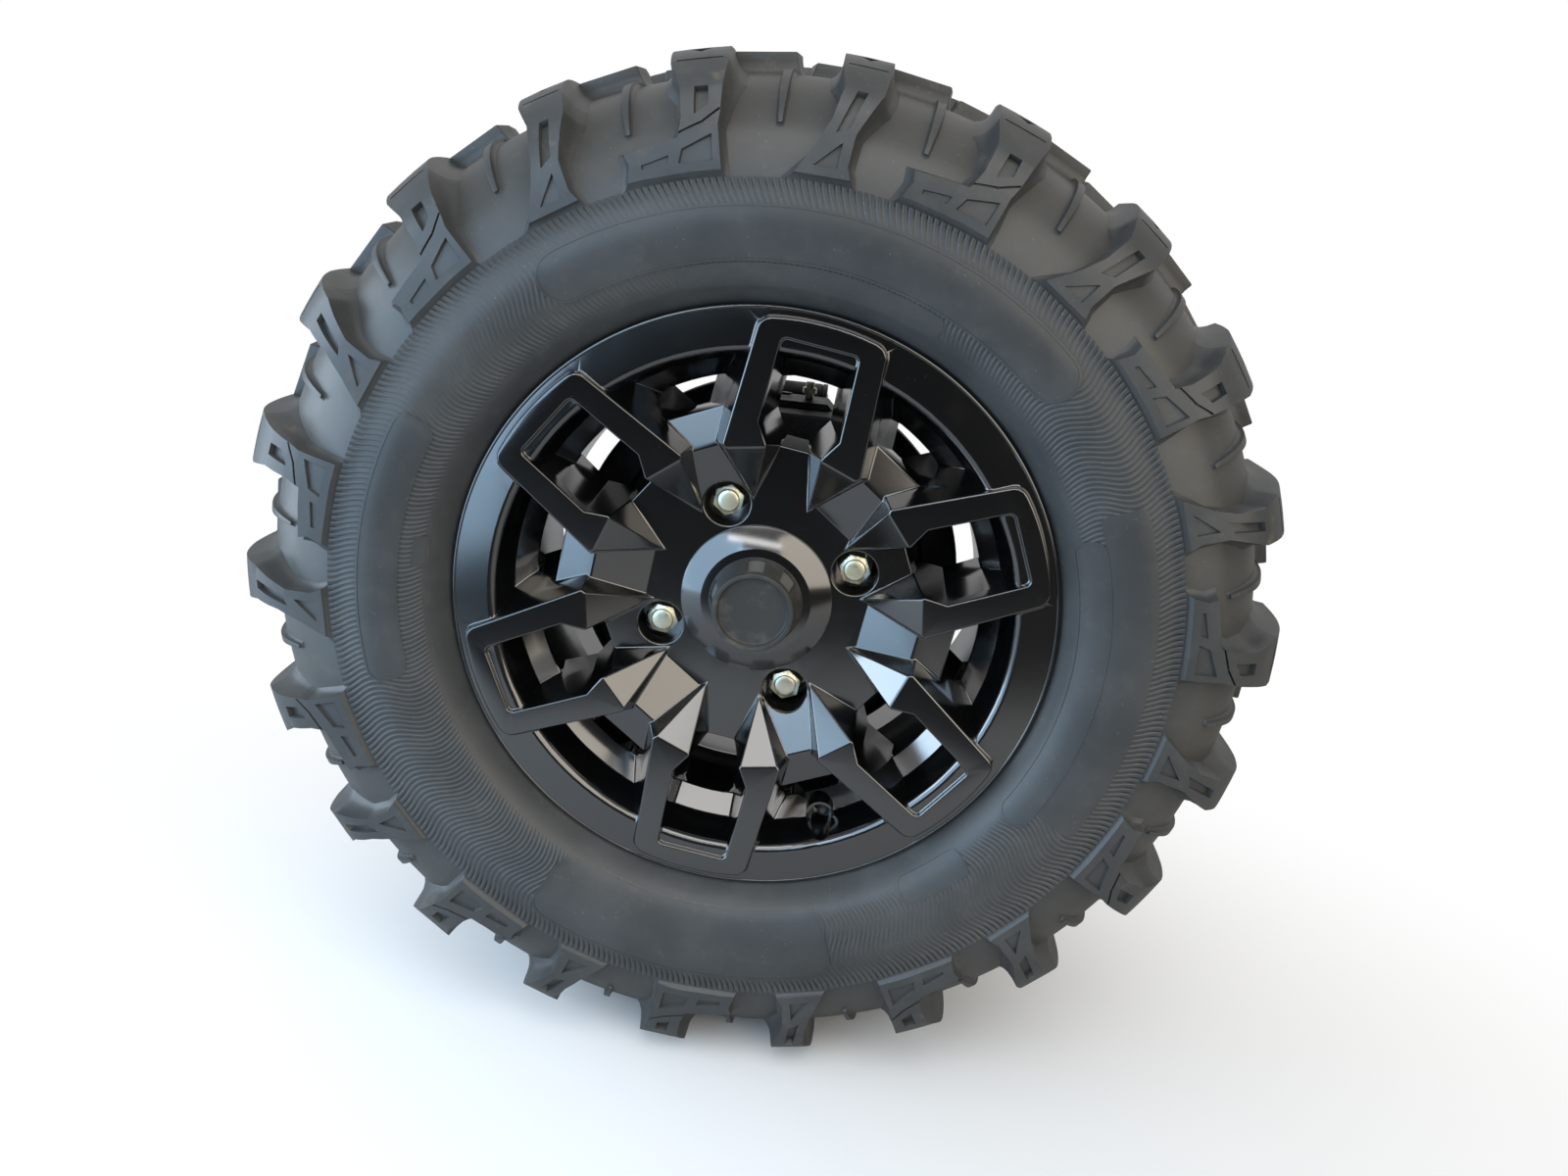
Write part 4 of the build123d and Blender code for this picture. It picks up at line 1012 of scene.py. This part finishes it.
def make_floor():
    """Pale floor that fades to the white background away from the wheel."""
    bm = bmesh.new()
    bmesh.ops.create_grid(bm, x_segments=1, y_segments=1, size=FLOOR_HALF)
    bmesh.ops.translate(bm, verts=bm.verts, vec=(0, 0, tyre_low.z))
    mesh = bpy.data.meshes.new("floor")
    bm.to_mesh(mesh)
    bm.free()
    material, shader, place = new_finish("floor", {"Roughness": 0.85})
    tree = material.node_tree
    x, y = place.part("X"), place.part("Y")
    away = ((x * x + (y - SPIN.y) ** 2.0) ** 0.5).ramp(FLOOR_NEAR, FLOOR_FAR)
    seen = seen_ray(tree, y.ramp(WHITE_FROM_Y, WHITE_TO_Y))
    # Apart from camera rays the floor's colour is painted: shade towards the camera, light near the
    # wheel
    painted_light = y.ramp(PAINTED_LIGHT_FROM_Y, PAINTED_LIGHT_TO_Y) * PAINTED_LIGHT_SHARE
    feed(shader, {"Base Color": seen.maths("MAXIMUM", painted_light).tint(FLOOR_PAINTED_SHADE, FLOOR_PALE)})
    white = tree.nodes.new("ShaderNodeEmission")
    mixed = place.node("ShaderNodeMixShader", {}, {
        0: away * seen, 1: Signal(tree, shader.outputs[0]), 2: Signal(tree, white.outputs[0])})
    tree.links.new(mixed.socket, tree.nodes["Material Output"].inputs["Surface"])
    mesh.materials.append(material)
    floor = bpy.data.objects.new("floor", mesh)
    bpy.context.scene.collection.objects.link(floor)


def make_lamp(name, place, size, power, tone):
    """Soft rectangular lamp that faces the hub."""
    data = bpy.data.lights.new(name, "AREA")
    data.shape = "RECTANGLE"
    data.size, data.size_y = size
    data.energy = power
    data.color = tone
    lamp = bpy.data.objects.new(name, data)
    lamp.location = place
    lamp.rotation_mode = "QUATERNION"
    lamp.rotation_quaternion = (SPIN - Vector(place)).to_track_quat("-Z", "Y")
    bpy.context.scene.collection.objects.link(lamp)


def make_light():
    for name, (place, size, power, tone) in LAMPS.items():
        make_lamp(name, place, size, power, tone)
    world = bpy.data.worlds.new("studio")
    world.use_nodes = True
    tree = world.node_tree
    ray = Signal(tree, tree.nodes.new("ShaderNodeTexCoord").outputs["Generated"])
    sky = SKY + ray.part("Z").ramp(0.0, 1.0) * SKY_UP + ray.part("Y").ramp(0.0, 1.0) * SKY_BEHIND
    seen = seen_ray(tree, ray.part("Y").ramp(SKY_WHITE_FROM, SKY_WHITE_TO))
    strength = sky + seen * (1.0 - sky)
    tree.links.new(strength.socket, tree.nodes["Background"].inputs["Strength"])
    tree.nodes["Background"].inputs["Color"].default_value = colour(1.0, 1.0, 1.0)
    bpy.context.scene.world = world


def make_camera():
    data = bpy.data.cameras.new("camera")
    data.lens = LENS
    data.sensor_width = SENSOR
    camera = bpy.data.objects.new("camera", data)
    camera.location = CAMERA_PLACE
    aim = CAMERA_AIM.to_track_quat("-Z", "Y").to_matrix()
    camera.rotation_euler = (aim @ Matrix.Rotation(math.radians(CAMERA_ROLL), 3, "Z")).to_euler()
    bpy.context.scene.collection.objects.link(camera)
    bpy.context.scene.camera = camera


make_camera()
make_light()
make_floor()
make_tyre()
make_cap()
make_nuts()
make_valve()
make_wheel()
for node, (finish, edge) in KEPT.items():
    dress(node, finish, edge)
bpy.context.scene.view_settings.view_transform = "Standard"
